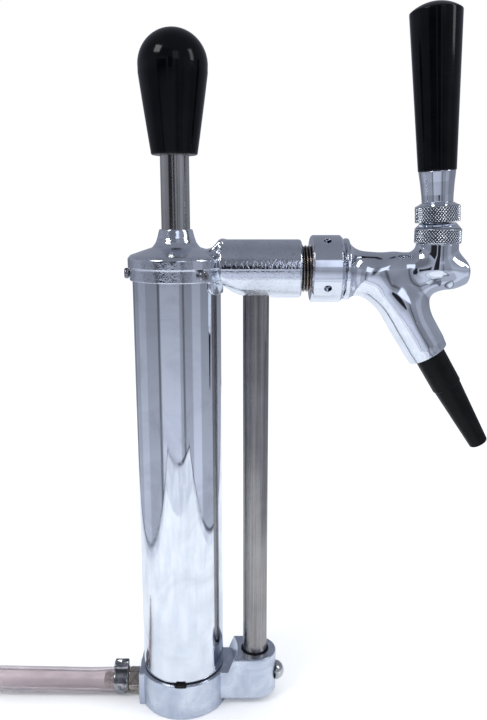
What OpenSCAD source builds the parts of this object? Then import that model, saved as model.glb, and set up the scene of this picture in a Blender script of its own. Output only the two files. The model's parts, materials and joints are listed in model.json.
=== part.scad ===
// Beer tap tower: a hand air pump, a beer riser and a tap on one pair of castings.
// Millimetres. The origin is the centre of the base ring's underside, on the pump axis.
// +Z runs up the pump barrel and +X points from the pump to the tap.

/* [Pump] */
// Outside diameter of the pump barrel
barrel_d = 50; // [49.8:0.1:50.1]
// Wall thickness of the pump barrel
barrel_wall = 1.6; // [1.5:0.1:1.7]
// Diameter of the plunger rod
rod_d = 16; // [15:0.5:16]
// Rod length between the head's neck and the knob, at rest
rod_clear = 40; // [40:1:60]
// Height of the piston's lowest point, at rest
piston_z = 76; // [76:1:100]
// Length of the teardrop knob
knob_h = 65.3; // [60:0.1:70]
// Largest diameter of the teardrop knob
knob_d = 37.7; // [34:0.1:40]
// Diameter of the knob where the rod enters it
knob_foot_d = 25.4; // [22:0.1:28]

/* [Base] */
// Diameter of the base ring at the bottom
ring_d = 54.6; // [54:0.1:54.6]
// Height of the base ring up to the barrel's shoulder
ring_h = 22.7; // [22.5:0.1:24]
// Distance from the pump axis to the hose pad's face
pad_x = 27.4; // [27.4:0.1:30]
// Width of the hose pad
pad_w = 26; // [22:0.5:28]
// Height of the top of the riser block
block_top = 31.3; // [31:0.1:34]
// Height of the underside of the riser block
block_foot = 4; // [3:0.1:4]
// Width of the riser block, and diameter of its round end
block_w = 26.6; // [25:0.1:28]
// Distance from the pump axis to the riser axis
riser_x = 45.1; // [45:0.1:46]
// Minor radius of the beer inlet's G3/8 thread
inlet_r = 7.475; // [7.4:0.025:7.5]
// Depth of the beer inlet's thread
inlet_depth = 8; // [7:0.5:8]

/* [Head and arm] */
// Height of the arm and tap axis
arm_z = 271.3; // [250:0.1:290]
// Radius of the cast arm
arm_r = 16.4; // [16:0.1:17]
// Distance from the pump axis to the arm's open end
arm_end = 70.5; // [69:0.1:72]
// Radius of the head's skirt
skirt_r = 26.6; // [26.5:0.1:27]
// Radius of the head above its parting ridge
cap_r = 27.4; // [27.3:0.1:28]

/* [Riser] */
// Outside diameter of the beer riser
riser_d = 15; // [14.6:0.1:15]
// Bore diameter of the beer riser
riser_bore = 12; // [10:0.5:12.5]

/* [Coupling] */
// Outside radius of the shank's thread
shank_r = 13.2; // [13:0.1:13.2]
// Pitch of the shank's thread
shank_pitch = 1.8; // [1.5:0.1:2]
// Radius of the coupling nut
nut_r = 18.8; // [18:0.1:20]
// Length of the coupling nut
nut_l = 17.9; // [17.5:0.1:18]

/* [Tap] */
// Radius of the tap's barrel
tap_r = 9.2; // [9:0.1:9.6]
// Length of the tap's barrel in front of its collar
tap_l = 69.3; // [68:0.1:70]
// Lean of the spout away from the vertical, degrees
spout_lean = 31; // [29:0.5:33]
// Length of the spout axis from the tap axis to the spout's end
spout_l = 56.7; // [52:0.1:60]
// Radius of the spout at its end
spout_r = 8.8; // [8.6:0.1:9]
// Length of the push-on nozzle
nozzle_l = 63.8; // [50:0.1:80]
// Outside radius of the nozzle's tip
nozzle_tip_r = 5.5; // [5:0.1:6]
// Radius of the knurled bonnet
bonnet_r = 13; // [12.8:0.1:13]

/* [Lever and handle] */
// Lean of the lever towards the pump when the tap is shut, degrees
lever_lean = 3.6; // [0:0.2:4]
// Radius of the knurled lever collar
collar_r = 12.3; // [12:0.1:12.4]
// Length of the plastic tap handle
handle_l = 86.4; // [70:0.1:110]
// Radius of the tap handle at its foot
handle_foot_r = 10.45; // [10.3:0.05:12]
// Radius of the tap handle at its shoulder
handle_top_r = 14; // [12:0.1:16]

/* [Air hose] */
// Height of the hose axis at the base
hose_z = 8.2; // [8:0.1:9]
// Outside diameter of the hose
hose_d = 15.4; // [15:0.1:15.4]
// Bore diameter of the hose where it is stretched over the barb
hose_bore = 11; // [11:0.1:11.4]
// Bore diameter of the free hose
hose_free_bore = 10; // [8:0.1:10.5]
// Distance from the pump axis to where the hose is cut
hose_reach = 122; // [100:1:180]

/* [Hidden] */
$fn = 96;

fit = 0.05;    // radial clearance of a close fit
cut = 1;       // how far a cutting body runs past the face it opens

// Pump
barrel_r = barrel_d / 2;
bore_r = barrel_r - barrel_wall;
gasket_t = 0.6;
notch_t = 0.9;    // depth of the notch for the gasket's tab
barrel_foot = ring_h + gasket_t + fit;
barrel_top = arm_z + 3.2;
spigot_r = bore_r - 0.1;
spigot_h = 13.3;
spigot_top = ring_h + spigot_h;
rod_r = rod_d / 2;
neck_top = arm_z + 22;
knob_z = neck_top + rod_clear;
rod_socket = 16.6;     // how far the rod runs into the knob
stud_r = 4;            // threaded end that carries the piston
nut_af = 13;           // piston nut across flats
piston_nut_h = 6.5;
washer_t = 2;
cup_t = 3;
cup_lip_h = 10;
plate_t = 4;
bumper_t = 5;
washer_z = piston_z + 0.5 + piston_nut_h;
cup_z = washer_z + washer_t;
plate_z = cup_z + cup_t;
rod_foot = plate_z + plate_t;

// Head
skirt_foot = arm_z - 6.3;
ridge_z = arm_z + 1;
shoulder_z = arm_z + 7.7;
bushing_z = arm_z + 5.7;
bushing_h = 10;
bushing_r = 9.6;
cap_screw_z = arm_z - 2.3;
cap_screw_angles = [-175, -54, 65];    // measured from +X
cap_screw_r = 1.5;

// Check valve in the base
seat_h = 4.5;
seat_z = spigot_top - seat_h;
seat_r = 7;
seat_hole_r = 2.2;
ball_r = 3.6;
ball_z = seat_z - fit - sqrt(ball_r * ball_r - seat_hole_r * seat_hole_r);
valve_bore_r = 4.2;
air_r = 2.5;
spring_ledge = 12;
spring_mean_r = 2.9;
spring_wire_r = 0.35;

// Riser
riser_r = riser_d / 2;
riser_foot = block_foot + inlet_depth + 1;
riser_top = arm_z - 9.3;
ring_seal_r = 0.95;    // section radius of the riser's sealing rings
lock_screw_z = 15.5;

// Coupling and tap, along the tap axis
passage_r = 4.5;
shank_x = riser_x + 11;
nut_x = arm_end + 5.1;
nut_end = nut_x + nut_l;
flange_x = nut_x + 4;
flange_t = 2.8;
flange_r = 14.1;
packing_t = 1.6;
tap_x = flange_x + flange_t + packing_t + fit;    // rear face of the tap
collar_x = nut_end + 1.1;                         // rear collar of the tap
seat_x = collar_x + 2.4;                          // face the seat washer shuts on
chamber_r = 5.65;
shaft_r = 5.6;
rear_chamber_r = 9;
tail_thread_r = 14.25;

// Ball lever
pivot_x = collar_x + 52.5;
pivot_z = arm_z + 16.7;
lever_ball_r = 6;
tail_l = 12;
tail_tip_r = 2.3;
tail_r = 1.5;
stem_r = 4.5;
collar_foot = 9.7;      // lever heights, measured from the pivot along the lever
collar_top = 20;
ferrule_top = 37;
spout_foot_x = pivot_x - 31;    // where the spout axis meets the tap axis

// Places children on a line along +X at height z, starting at x
module along_x(x, z) {
  translate([x, 0, z]) rotate([0, 90, 0]) children();
}

// A round bar along +X
module bar_x(x0, x1, z, r) {
  along_x(x0, z) cylinder(h = x1 - x0, r = r);
}

// A flat ring about Z
module ring(z, h, outer, inner) {
  difference() {
    translate([0, 0, z]) cylinder(h = h, r = outer);
    translate([0, 0, z - cut]) cylinder(h = h + 2 * cut, r = inner);
  }
}

// A round-section ring about Z
module o_ring(z, mean_r, section_r) {
  translate([0, 0, z]) rotate_extrude() translate([mean_r, 0]) circle(r = section_r, $fn = 32);
}

// Places children in the lever's own frame: its foot at the pivot, leaning to the pump
module in_lever_frame() {
  translate([pivot_x, 0, pivot_z]) rotate([0, -lever_lean, 0]) children();
}

// Places children on the spout axis, at distance t past the spout's end
module on_spout(t) {
  translate([spout_foot_x, 0, arm_z]) rotate([0, 180 - spout_lean, 0])
    translate([0, 0, spout_l + t]) children();
}

// Points of an arc from angle a0 to a1
function arc(cx, cy, r, a0, a1, n = 12) =
  [for (i = [0:n]) let (a = a0 + (a1 - a0) * i / n) [cx + r * cos(a), cy + r * sin(a)]];

// A helical wire about Z, from height z0 to z1
module coil(mean_r, wire_r, z0, z1, turns) {
  sides = 8;
  steps = 20 * turns;
  slope = atan((z1 - z0) / (turns * 2 * PI * mean_r));
  points = [
    for (i = [0:steps], j = [0:sides - 1])
      let (a = 360 * turns * i / steps, b = 360 * j / sides)
      let (u = mean_r + wire_r * cos(b), w = wire_r * sin(b))
      [
        u * cos(a) + w * sin(slope) * sin(a),
        u * sin(a) - w * sin(slope) * cos(a),
        z0 + (z1 - z0) * i / steps + w * cos(slope)
      ]
  ];
  walls = [
    for (i = [0:steps - 1], j = [0:sides - 1])
      let (k = (j + 1) % sides, p = i * sides)
      each [[p + j, p + sides + j, p + k], [p + k, p + sides + j, p + sides + k]]
  ];
  first = [for (j = [0:sides - 1]) j];
  last = [for (j = [sides - 1:-1:0]) steps * sides + j];
  polyhedron(points, concat([first, last], walls));
}

// ---- Base ----

// Ring, spigot, hose pad and riser block as one casting
module base_body() {
  bevel = 0.5;
  side_step = 0.1;    // keeps the block's flanks clear of a tangent with its round end
  cylinder(h = ring_h - bevel, r = ring_d / 2);
  translate([0, 0, ring_h - bevel]) cylinder(h = bevel, r1 = ring_d / 2, r2 = ring_d / 2 - bevel);
  cylinder(h = spigot_top, r = spigot_r);
  translate([-pad_x, -pad_w / 2, 0]) cube([pad_x, pad_w, ring_h - 1.2]);
  difference() {
    union() {
      translate([riser_x, 0, block_foot]) cylinder(h = block_top - block_foot, r = block_w / 2);
      translate([0, side_step - block_w / 2, block_foot])
        cube([riser_x, block_w - 2 * side_step, block_top - block_foot]);
    }
    block_relief();
  }
}

// Conical cut that keeps the riser block's top clear of the barrel
module block_relief() {
  foot_r = barrel_r + 6.1;
  top_r = barrel_r + 9.1;
  translate([0, 0, ring_h]) cylinder(h = block_top - ring_h + 0.01, r1 = foot_r, r2 = top_r);
}

// Air way: ball chamber down the pump axis, then out to the hose barb
module base_air_way() {
  translate([0, 0, hose_z - air_r - 1]) cylinder(h = spigot_top, r = air_r - 0.4);
  translate([0, 0, spring_ledge]) cylinder(h = spigot_top, r = valve_bore_r);
  translate([0, 0, seat_z - fit]) cylinder(h = spigot_top, r = seat_r + fit);
  bar_x(-pad_x, 0, hose_z, air_r);
  bar_x(-pad_x - cut, -pad_x + 9.4, hose_z, 4.5 + fit);
}

// Beer way: threaded inlet below, riser socket above, lock screw hole from the end
module base_beer_way() {
  translate([riser_x, 0, 0]) {
    translate([0, 0, block_foot - cut]) cylinder(h = inlet_depth + cut, r = inlet_r);
    translate([0, 0, block_foot]) cylinder(h = block_top, r = 5.5);
    translate([0, 0, riser_foot]) cylinder(h = block_top, r = riser_r + fit);
    translate([0, 0, 22.2]) cylinder(h = 2.4, r = riser_r + 0.05 + 2 * ring_seal_r + 0.1);
    translate([0, 0, block_top - 1]) cylinder(h = 2, r = riser_r + 1.05);
  }
  bar_x(riser_x, riser_x + block_w, lock_screw_z, 3 + fit);
}

module base_casting() {
  color([0.75, 0.78, 0.84]) difference() {
    base_body();
    base_air_way();
    base_beer_way();
    // groove for the barrel's sealing ring
    ring(ring_h + 6.3, 2.6, barrel_r, spigot_r - 2.1);
    // notch in the front of the rim for the gasket's tab
    translate([-3.25, -ring_d / 2 - cut, ring_h - notch_t]) cube([6.5, ring_d / 2 - spigot_r - 1.2 + cut, 4]);
  }
}

// Flat gasket with a locating tab that fills the notch in the rim
module barrel_gasket() {
  tab_w = 6.4;
  tab_l = ring_d / 2 - spigot_r - 1.35;
  color([0.05, 0.05, 0.06]) union() {
    ring(ring_h + 0.02, gasket_t, barrel_r, spigot_r + 0.15);
    translate([-tab_w / 2, 0.1 - ring_d / 2, ring_h + 0.05 - notch_t])
      cube([tab_w, tab_l, notch_t + gasket_t - 0.05]);
  }
}

module base_o_ring() {
  color([0.05, 0.05, 0.06]) o_ring(ring_h + 7.6, spigot_r - 1, 1.05);
}

// ---- Pump barrel and head ----

module pump_barrel() {
  color([0.86, 0.89, 0.93]) difference() {
    ring(barrel_foot, barrel_top - barrel_foot, barrel_r, bore_r);
    cap_screw_holes();
  }
}

// One radial hole for each cap screw, through skirt and barrel
module cap_screw_holes() {
  for (a = cap_screw_angles)
    rotate([0, 0, a]) bar_x(bore_r - 2, cap_r + 2, cap_screw_z, cap_screw_r + fit);
}

// Round cap with a skirt over the barrel and a neck for the rod
module head_cap() {
  rotate_extrude() polygon(concat(
    [[0, skirt_foot], [skirt_r, skirt_foot], [skirt_r, ridge_z - 0.2], [cap_r, ridge_z]],
    arc(cap_r - 1.6, shoulder_z - 1.6, 1.6, 0, 75, 6),
    [[18, arm_z + 10.5], [14.5, arm_z + 11.6]],
    arc(17.6, arm_z + 18.2, 7, 250, 182, 8),
    [[9.6, neck_top - 0.6], [9, neck_top], [0, neck_top]]
  ));
}

// Horizontal arm with a tapered root that runs into the cap
module head_arm() {
  chamfer = 1.5;
  bar_x(24, arm_end - chamfer, arm_z, arm_r);
  along_x(arm_end - chamfer, arm_z) cylinder(h = chamfer, r1 = arm_r, r2 = arm_r - chamfer);
  along_x(15, arm_z) cylinder(h = 9.01, r1 = 8.5, r2 = arm_r);
}

// Rod neck and the hollow over the piston
module head_pump_bores() {
  translate([0, 0, arm_z - 40]) cylinder(h = barrel_top + fit - (arm_z - 40), r = barrel_r + fit);
  translate([0, 0, barrel_top]) cylinder(h = 2.5, r1 = 21, r2 = 17);
  translate([0, 0, arm_z]) cylinder(h = bushing_z + bushing_h - arm_z, r = bushing_r + fit);
  translate([0, 0, arm_z]) cylinder(h = 30, r = rod_r + 0.08);
  // breather hole at the back
  translate([0, 19, arm_z]) cylinder(h = 20, r = 1.2);
}

// Riser socket, shank socket and the passage that joins them
module head_beer_bores() {
  translate([riser_x, 0, 0]) {
    translate([0, 0, riser_top - 30]) cylinder(h = 30 + fit, r = riser_r + fit);
    translate([0, 0, arm_z - 13]) cylinder(h = 2.3, r = riser_r + 0.05 + 2 * ring_seal_r + 0.1);
    translate([0, 0, riser_top]) cylinder(h = arm_z - riser_top, r = passage_r);
  }
  bar_x(riser_x, arm_end, arm_z, passage_r);
  bar_x(shank_x, arm_end + cut, arm_z, shank_r + fit);
}

module head_casting() {
  color([0.82, 0.85, 0.9]) difference() {
    union() {
      head_cap();
      head_arm();
    }
    head_pump_bores();
    head_beer_bores();
    cap_screw_holes();
    // flat on the arm's underside, round the riser
    translate([riser_x - 8.5, -20, arm_z - 25]) cube([17, 40, 25 - 15.1]);
  }
}

module cap_screws() {
  head_r = 3;
  head_h = 2.8;
  color([0.6, 0.6, 0.6]) for (a = cap_screw_angles) rotate([0, 0, a]) {
    bar_x(bore_r + 0.2, skirt_r + 0.5, cap_screw_z, cap_screw_r);
    along_x(skirt_r + fit, cap_screw_z) rotate_extrude()
      polygon(concat([[0, 0], [head_r, 0]], arc(head_r - 1.4, head_h - 1.4, 1.4, 0, 90, 8), [[0, head_h]]));
  }
}

module rod_bushing() {
  color([0.8, 0.65, 0.35]) difference() {
    ring(bushing_z, bushing_h - fit, bushing_r, rod_r + fit);
    translate([0, 0, arm_z + 11.7]) cylinder(h = 1.6, r = rod_r + 1.1);
  }
}

module rod_seal() {
  color([0.05, 0.05, 0.06]) o_ring(arm_z + 12.5, rod_r + 0.56, 0.5);
}

// ---- Plunger ----

// Hollow rod with a closed foot and a threaded stud
module plunger_rod() {
  rod_top = knob_z + rod_socket;
  color([0.6, 0.58, 0.57]) difference() {
    union() {
      translate([0, 0, rod_foot]) cylinder(h = rod_top - rod_foot, r = rod_r);
      translate([0, 0, piston_z]) cylinder(h = rod_foot - piston_z + 1, r = stud_r);
    }
    translate([0, 0, rod_foot + 12]) cylinder(h = rod_top, r = rod_r - 1.5);
  }
}

// Teardrop knob: a cone that swells into a half sphere
module plunger_knob() {
  top_r = knob_d / 2;
  ball_centre = knob_z + knob_h - top_r;
  color([0.02, 0.02, 0.03]) difference() {
    rotate_extrude() polygon(concat(
      [[0, knob_z], [knob_foot_d / 2 - 1, knob_z], [knob_foot_d / 2, knob_z + 1]],
      arc(0, ball_centre, top_r, -8, 90, 24)
    ));
    translate([0, 0, knob_z - cut]) cylinder(h = rod_socket + 0.2 + cut, r = rod_r + fit);
  }
}

module top_bumper() {
  color([0.1, 0.1, 0.1]) ring(rod_foot + fit, bumper_t, rod_r + 4, rod_r + fit);
}

module piston_plate() {
  color([0.85, 0.7, 0.4]) ring(plate_z, plate_t - fit, bore_r - 0.6, stud_r + fit);
}

// Cup seal: a web clamped on the stud and a thin lip that faces down
module piston_cup() {
  lip_t = 2.2;
  color([0.12, 0.1, 0.09]) union() {
    ring(cup_z, cup_t - fit, bore_r - 0.08, stud_r + fit);
    ring(cup_z + 0.5 - cup_lip_h, cup_lip_h, bore_r - 0.08, bore_r - lip_t);
  }
}

module piston_washer() {
  color([0.7, 0.7, 0.7]) ring(washer_z, washer_t - fit, 12, stud_r + fit);
}

module piston_nut() {
  color([0.7, 0.7, 0.7]) difference() {
    translate([0, 0, piston_z + 0.5]) cylinder(h = piston_nut_h - fit, r = nut_af / 2 / cos(30), $fn = 6);
    translate([0, 0, piston_z - cut]) cylinder(h = 2 * piston_nut_h, r = stud_r + fit);
  }
}

// ---- Check valve ----

module valve_seat() {
  color([0.8, 0.65, 0.35]) ring(seat_z, seat_h, seat_r, seat_hole_r);
}

module check_ball() {
  color([0.8, 0.8, 0.8]) translate([0, 0, ball_z]) sphere(r = ball_r);
}

module check_spring() {
  contact = sqrt(pow(ball_r + spring_wire_r, 2) - spring_mean_r * spring_mean_r);
  spring_foot = spring_ledge + spring_wire_r + 0.05;
  color([0.7, 0.7, 0.7])
    coil(spring_mean_r, spring_wire_r, spring_foot, ball_z - contact - 0.1, 6);
}

// ---- Air hose ----

// Threaded stem, hexagon and three barbs, drilled through
module hose_barb() {
  hex_af = 14;
  hex_x = pad_x + fit;
  hex_l = 7.5;
  barb_x = hex_x + hex_l;
  crest_r = hose_bore / 2 - fit;
  tooth = 4.6;
  color([0.62, 0.6, 0.52]) difference() {
    union() {
      bar_x(-hex_x - 0.1, -pad_x + 9.2, hose_z, 4.5);
      along_x(-barb_x, hose_z) rotate([0, 0, 12]) cylinder(h = hex_l, r = hex_af / 2 / cos(30), $fn = 6);
      bar_x(-barb_x - 16, -barb_x + 0.1, hose_z, 4.3);
      for (i = [0:2])
        along_x(-barb_x - 15.9 + i * tooth, hose_z) cylinder(h = 3.4, r1 = 4.2, r2 = crest_r);
    }
    bar_x(-barb_x - 17, -pad_x + 10, hose_z, air_r);
  }
}

// Stretched over the barb, then free up to the cut end
module air_hose() {
  start_x = pad_x + fit + 7.5 + 0.3;
  stretch_x = 56;
  color([0.85, 0.78, 0.77, 0.7]) difference() {
    bar_x(-hose_reach, -start_x, hose_z, hose_d / 2);
    bar_x(-hose_reach - cut, -start_x, hose_z, hose_free_bore / 2);
    bar_x(-stretch_x, -start_x + cut, hose_z, hose_bore / 2);
  }
}

// Band round the hose with one squeezed ear on top
module hose_clamp() {
  band_w = 8;
  band_x = -43.9;
  band_r = hose_d / 2 + 0.05;
  band_t = 0.7;
  ear_top = hose_z + 13.3;
  ear_half = 4.2;
  color([0.78, 0.78, 0.78]) difference() {
    union() {
      bar_x(band_x, band_x + band_w, hose_z, band_r + band_t);
      translate([band_x, -ear_half, hose_z]) cube([band_w, 2 * ear_half, ear_top - hose_z]);
    }
    bar_x(band_x - cut, band_x + band_w + cut, hose_z, band_r);
    // hollow of the ear, open to the hose
    translate([band_x - cut, -ear_half + 1, hose_z]) cube([band_w + 2 * cut, 2 * ear_half - 2, 12.3]);
    // dimple across the ear's top
    translate([band_x + band_w / 2, 0, ear_top + 4.2]) rotate([90, 0, 0])
      cylinder(h = 20, r = 5, center = true);
  }
}

// ---- Riser ----

module riser_tube() {
  color([0.5, 0.48, 0.47]) translate([riser_x, 0, 0])
    ring(riser_foot + fit, riser_top - riser_foot - fit, riser_r, riser_bore / 2);
}

module riser_o_rings() {
  color([0.05, 0.05, 0.06]) translate([riser_x, 0, 0]) {
    o_ring(23.4, riser_r + 0.1 + ring_seal_r, ring_seal_r);
    o_ring(arm_z - 11.85, riser_r + 0.1 + ring_seal_r, ring_seal_r);
  }
}

module riser_gasket() {
  color([0.04, 0.04, 0.05]) translate([riser_x, 0, 0])
    ring(block_top - 0.95, 1.25, riser_r + 1, riser_r + 0.1);
}

module riser_lock_screw() {
  head_r = 6;
  head_h = 5.3;
  dome_r = (head_r * head_r + head_h * head_h) / (2 * head_h);
  tip_x = riser_x + riser_r + 0.1;
  head_x = riser_x + block_w / 2 + fit;
  color([0.72, 0.75, 0.8]) union() {
    bar_x(tip_x, head_x + 0.5, lock_screw_z, 3);
    along_x(head_x, lock_screw_z) rotate_extrude()
      polygon(concat([[0, 0]], arc(0, head_h - dome_r, dome_r, asin((dome_r - head_h) / dome_r), 90, 16)));
  }
}

// ---- Coupling ----

// Threaded into the arm, with a flange that the coupling nut pulls on
module shank() {
  thread_h = 0.8;
  color([0.55, 0.5, 0.45]) difference() {
    union() {
      bar_x(shank_x + fit, flange_x + 0.5, arm_z, shank_r);
      bar_x(flange_x + 0.2, flange_x + flange_t, arm_z, flange_r);
    }
    bar_x(shank_x - cut, flange_x + 10, arm_z, passage_r);
    // thread roots between the arm and the nut
    for (x = [arm_end + 0.6:shank_pitch:nut_x - 0.5])
      along_x(x, arm_z) rotate_extrude()
        polygon([[shank_r + 1, -0.8], [shank_r + 1, 0.8], [shank_r - thread_h, 0.25], [shank_r - thread_h, -0.25]]);
  }
}

module coupling_washer() {
  color([0.3, 0.12, 0.1]) along_x(flange_x + flange_t + fit, arm_z)
    ring(0, packing_t - fit, flange_r, passage_r + 1);
}

// Round nut with a lip behind the flange and four spanner holes
module coupling_nut() {
  spanner_r = 2;
  spanner_x = nut_x + 8.7;
  rear_chamfer = 1;
  front_chamfer = 1.5;
  color([0.85, 0.88, 0.92]) difference() {
    along_x(nut_x, arm_z) rotate_extrude() polygon([
      [0, 0], [nut_r - rear_chamfer, 0], [nut_r, rear_chamfer], [nut_r, nut_l - front_chamfer],
      [nut_r - front_chamfer, nut_l], [0, nut_l]
    ]);
    bar_x(nut_x - cut, flange_x + cut, arm_z, shank_r + 0.25);
    bar_x(flange_x, nut_end + cut, arm_z, flange_r + 0.25);
    for (a = [-31:90:239]) translate([spanner_x, 0, arm_z]) rotate([a - 90, 0, 0])
      translate([0, 0, nut_r - 2.8]) cylinder(h = 5, r = spanner_r);
  }
}

// ---- Tap ----

// Barrel, rear collar, flare and the male thread inside the coupling nut
module tap_barrel() {
  flare_l = 13;
  flare_r = 17;
  along_x(0, arm_z) rotate_extrude() polygon(concat(
    [[0, tap_x], [tail_thread_r, tap_x], [tail_thread_r, collar_x], [flare_r, collar_x]],
    [[flare_r, collar_x + 1.9]],
    arc(tap_r + flare_l * 0.95, collar_x + 1.9 + flare_l, flare_l * 0.95, 232, 180, 10),
    [[tap_r, collar_x + tap_l - 2.5], [tap_r - 2.5, collar_x + tap_l], [0, collar_x + tap_l]]
  ));
}

// Spout: swells from its end up into the barrel, with webs front and back
module tap_spout() {
  shoulder = 27;
  on_spout(-shoulder) cylinder(h = shoulder, r1 = 10.6, r2 = spout_r);
  on_spout(-spout_l + 4) cylinder(h = spout_l - shoulder - 3.99, r1 = 12, r2 = 10.6);
  on_spout(-cut) cylinder(h = 11 + cut, r = spout_r - 2);
  // web that fills the crotches, given from the point where the two axes meet
  translate([spout_foot_x, 6, arm_z]) rotate([90, 0, 0]) linear_extrude(height = 12) polygon([
    [-12, -2], [-12, -16.2], [-4.3, -19.3], [6.9, -30.4],
    [21, -25], [26.7, -16.3], [35.4, -9.9], [35.4, -2]
  ]);
}

// Upright neck that seats the ball and carries the bonnet
module tap_neck() {
  translate([pivot_x, 0, arm_z]) cylinder(h = 14.2, r = bonnet_r - 1.6);
  translate([pivot_x, 0, arm_z]) cylinder(h = 18.9, r = bonnet_r - 2.8);
}

// Everything bored out of the tap
module tap_bores() {
  bar_x(tap_x - cut, seat_x, arm_z, rear_chamber_r);
  bar_x(seat_x - cut, pivot_x + 11.5, arm_z, chamber_r);
  on_spout(-spout_l) cylinder(h = spout_l + 20, r = 5);
  translate([pivot_x, 0, pivot_z - 5.9]) cylinder(h = 20, r = 7);
  // clearance for the swinging tail
  translate([pivot_x, 2.8, pivot_z]) rotate([90, 0, 0]) linear_extrude(height = 5.6)
    polygon([[3, -5.8], [-4.2, -5.8], [-7.6, -10.5], [-7.6, -16], [3, -16]]);
}

module faucet_body() {
  color([0.85, 0.88, 0.93]) difference() {
    union() {
      tap_barrel();
      tap_spout();
      tap_neck();
    }
    tap_bores();
  }
}

// Slides in the barrel, and is pushed back by the lever's tail
module valve_shaft() {
  land_x = pivot_x - 15.1;
  front_x = pivot_x + 10.9;
  slot_half = tail_tip_r + 0.15;
  color([0.7, 0.72, 0.75]) difference() {
    union() {
      bar_x(seat_x - 7, seat_x + 3, arm_z, 2.5);
      bar_x(seat_x + fit, land_x + 1, arm_z, 3.2);
      bar_x(land_x, front_x, arm_z, shaft_r);
    }
    along_x(land_x + 2.5, arm_z) ring(0, 2.2, 8, 3.75);
    translate([pivot_x - slot_half, -10, pivot_z - tail_l - tail_tip_r - 0.3]) cube([2 * slot_half, 20, 10]);
  }
}

module shaft_o_ring() {
  color([0.05, 0.05, 0.06]) along_x(pivot_x - 11.5, arm_z) o_ring(0, shaft_r - 0.92, 0.9);
}

module seat_washer() {
  color([0.08, 0.08, 0.08]) along_x(seat_x - 3.05, arm_z) ring(0, 3, 7.5, 2.5 + fit);
}

module shaft_nut() {
  color([0.7, 0.7, 0.7]) along_x(seat_x - 6.1, arm_z) difference() {
    cylinder(h = 3, r = 4.6, $fn = 6);
    translate([0, 0, -cut]) cylinder(h = 5, r = 2.5 + fit);
  }
}

module ball_washer() {
  color([0.1, 0.1, 0.1]) translate([pivot_x, 0, 0]) o_ring(pivot_z - 4.65, 5.6, 1.2);
}

module friction_ring() {
  color([0.9, 0.9, 0.88]) translate([pivot_x, 0, 0]) o_ring(pivot_z + 3.6, 6.3, 1.2);
}

// Knurled cap over the ball, open at the top for the lever to swing
module faucet_bonnet() {
  foot = pivot_z - 2.4;
  side_h = 7.8;
  crown_h = 3.8;
  thread_r = bonnet_r - 2.8;
  color([0.8, 0.83, 0.88]) translate([pivot_x, 0, 0]) difference() {
    union() {
      translate([0, 0, foot]) cylinder(h = side_h, r = bonnet_r);
      translate([0, 0, foot + side_h - 0.01]) cylinder(h = crown_h, r1 = bonnet_r, r2 = bonnet_r - 3.4);
    }
    translate([0, 0, foot - cut]) cylinder(h = cut + 4.9, r = thread_r + 0.1);
    translate([0, 0, foot]) cylinder(h = 7.3, r = 7.6);
    translate([0, 0, foot + 7.2]) cylinder(h = crown_h + 0.7, r1 = 5.4, r2 = 8.2);
  }
}

// ---- Lever and handle ----

// Ball, tail below it and stem above it
module tap_lever() {
  color([0.75, 0.77, 0.8]) union() {
    translate([pivot_x, 0, pivot_z]) sphere(r = lever_ball_r);
    translate([pivot_x, 0, pivot_z - tail_l]) cylinder(h = tail_l, r = tail_r);
    translate([pivot_x, 0, pivot_z - tail_l]) sphere(r = tail_tip_r);
    in_lever_frame() {
      cylinder(h = collar_foot + 4, r = 2.8);
      translate([0, 0, collar_foot + 3.25]) cylinder(h = ferrule_top - collar_foot - 3.25, r = stem_r);
      cylinder(h = ferrule_top + 16, r = 2.8);
      translate([0, 0, ferrule_top - 1]) cylinder(h = 17, r = stud_r);
    }
  }
}

// Knurled ring, hollow below so that it clears the bonnet
module lever_collar() {
  knurl_top = 17.3;
  hollow_r = 10.2;
  color([0.8, 0.83, 0.88]) in_lever_frame() difference() {
    union() {
      translate([0, 0, collar_foot]) cylinder(h = knurl_top - collar_foot, r = collar_r);
      translate([0, 0, knurl_top]) cylinder(h = collar_top - knurl_top - fit, r1 = collar_r, r2 = 8.6);
    }
    translate([0, 0, collar_foot - cut]) cylinder(h = cut + 3.2, r = hollow_r);
    cylinder(h = 50, r = stem_r + fit);
  }
}

module handle_ferrule() {
  color([0.85, 0.87, 0.9]) in_lever_frame() difference() {
    translate([0, 0, collar_top]) cylinder(h = ferrule_top - collar_top - fit, r1 = 8.55, r2 = 10.15);
    cylinder(h = 60, r = stem_r + fit);
  }
}

// Tapered handle with a crowned top
module tap_handle() {
  crown = 4.9;
  crown_r = (handle_top_r * handle_top_r + crown * crown) / (2 * crown);
  crown_a = asin(handle_top_r / crown_r);
  top = ferrule_top + handle_l;
  color([0.02, 0.02, 0.03]) in_lever_frame() difference() {
    rotate_extrude() polygon(concat(
      [[0, ferrule_top], [handle_foot_r - 0.6, ferrule_top], [handle_foot_r, ferrule_top + 0.6]],
      arc(0, top - crown_r, crown_r, 90 - crown_a, 90, 12)
    ));
    translate([0, 0, ferrule_top - cut]) cylinder(h = 17.4, r = stud_r + fit);
  }
}

// Push-on nozzle: a straight sleeve, a small step and a long taper
module spout_nozzle() {
  sleeve = 22.7;
  spigot = 11.3;
  color([0.04, 0.04, 0.05]) difference() {
    union() {
      on_spout(fit) cylinder(h = sleeve, r1 = spout_r, r2 = spout_r - 0.3);
      on_spout(sleeve) cylinder(h = nozzle_l - sleeve, r1 = spout_r - 0.6, r2 = nozzle_tip_r);
    }
    on_spout(-cut) cylinder(h = spigot + cut, r = spout_r - 2 + fit);
    on_spout(0) cylinder(h = nozzle_l + cut, r = nozzle_tip_r - 1.8);
  }
}

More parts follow.
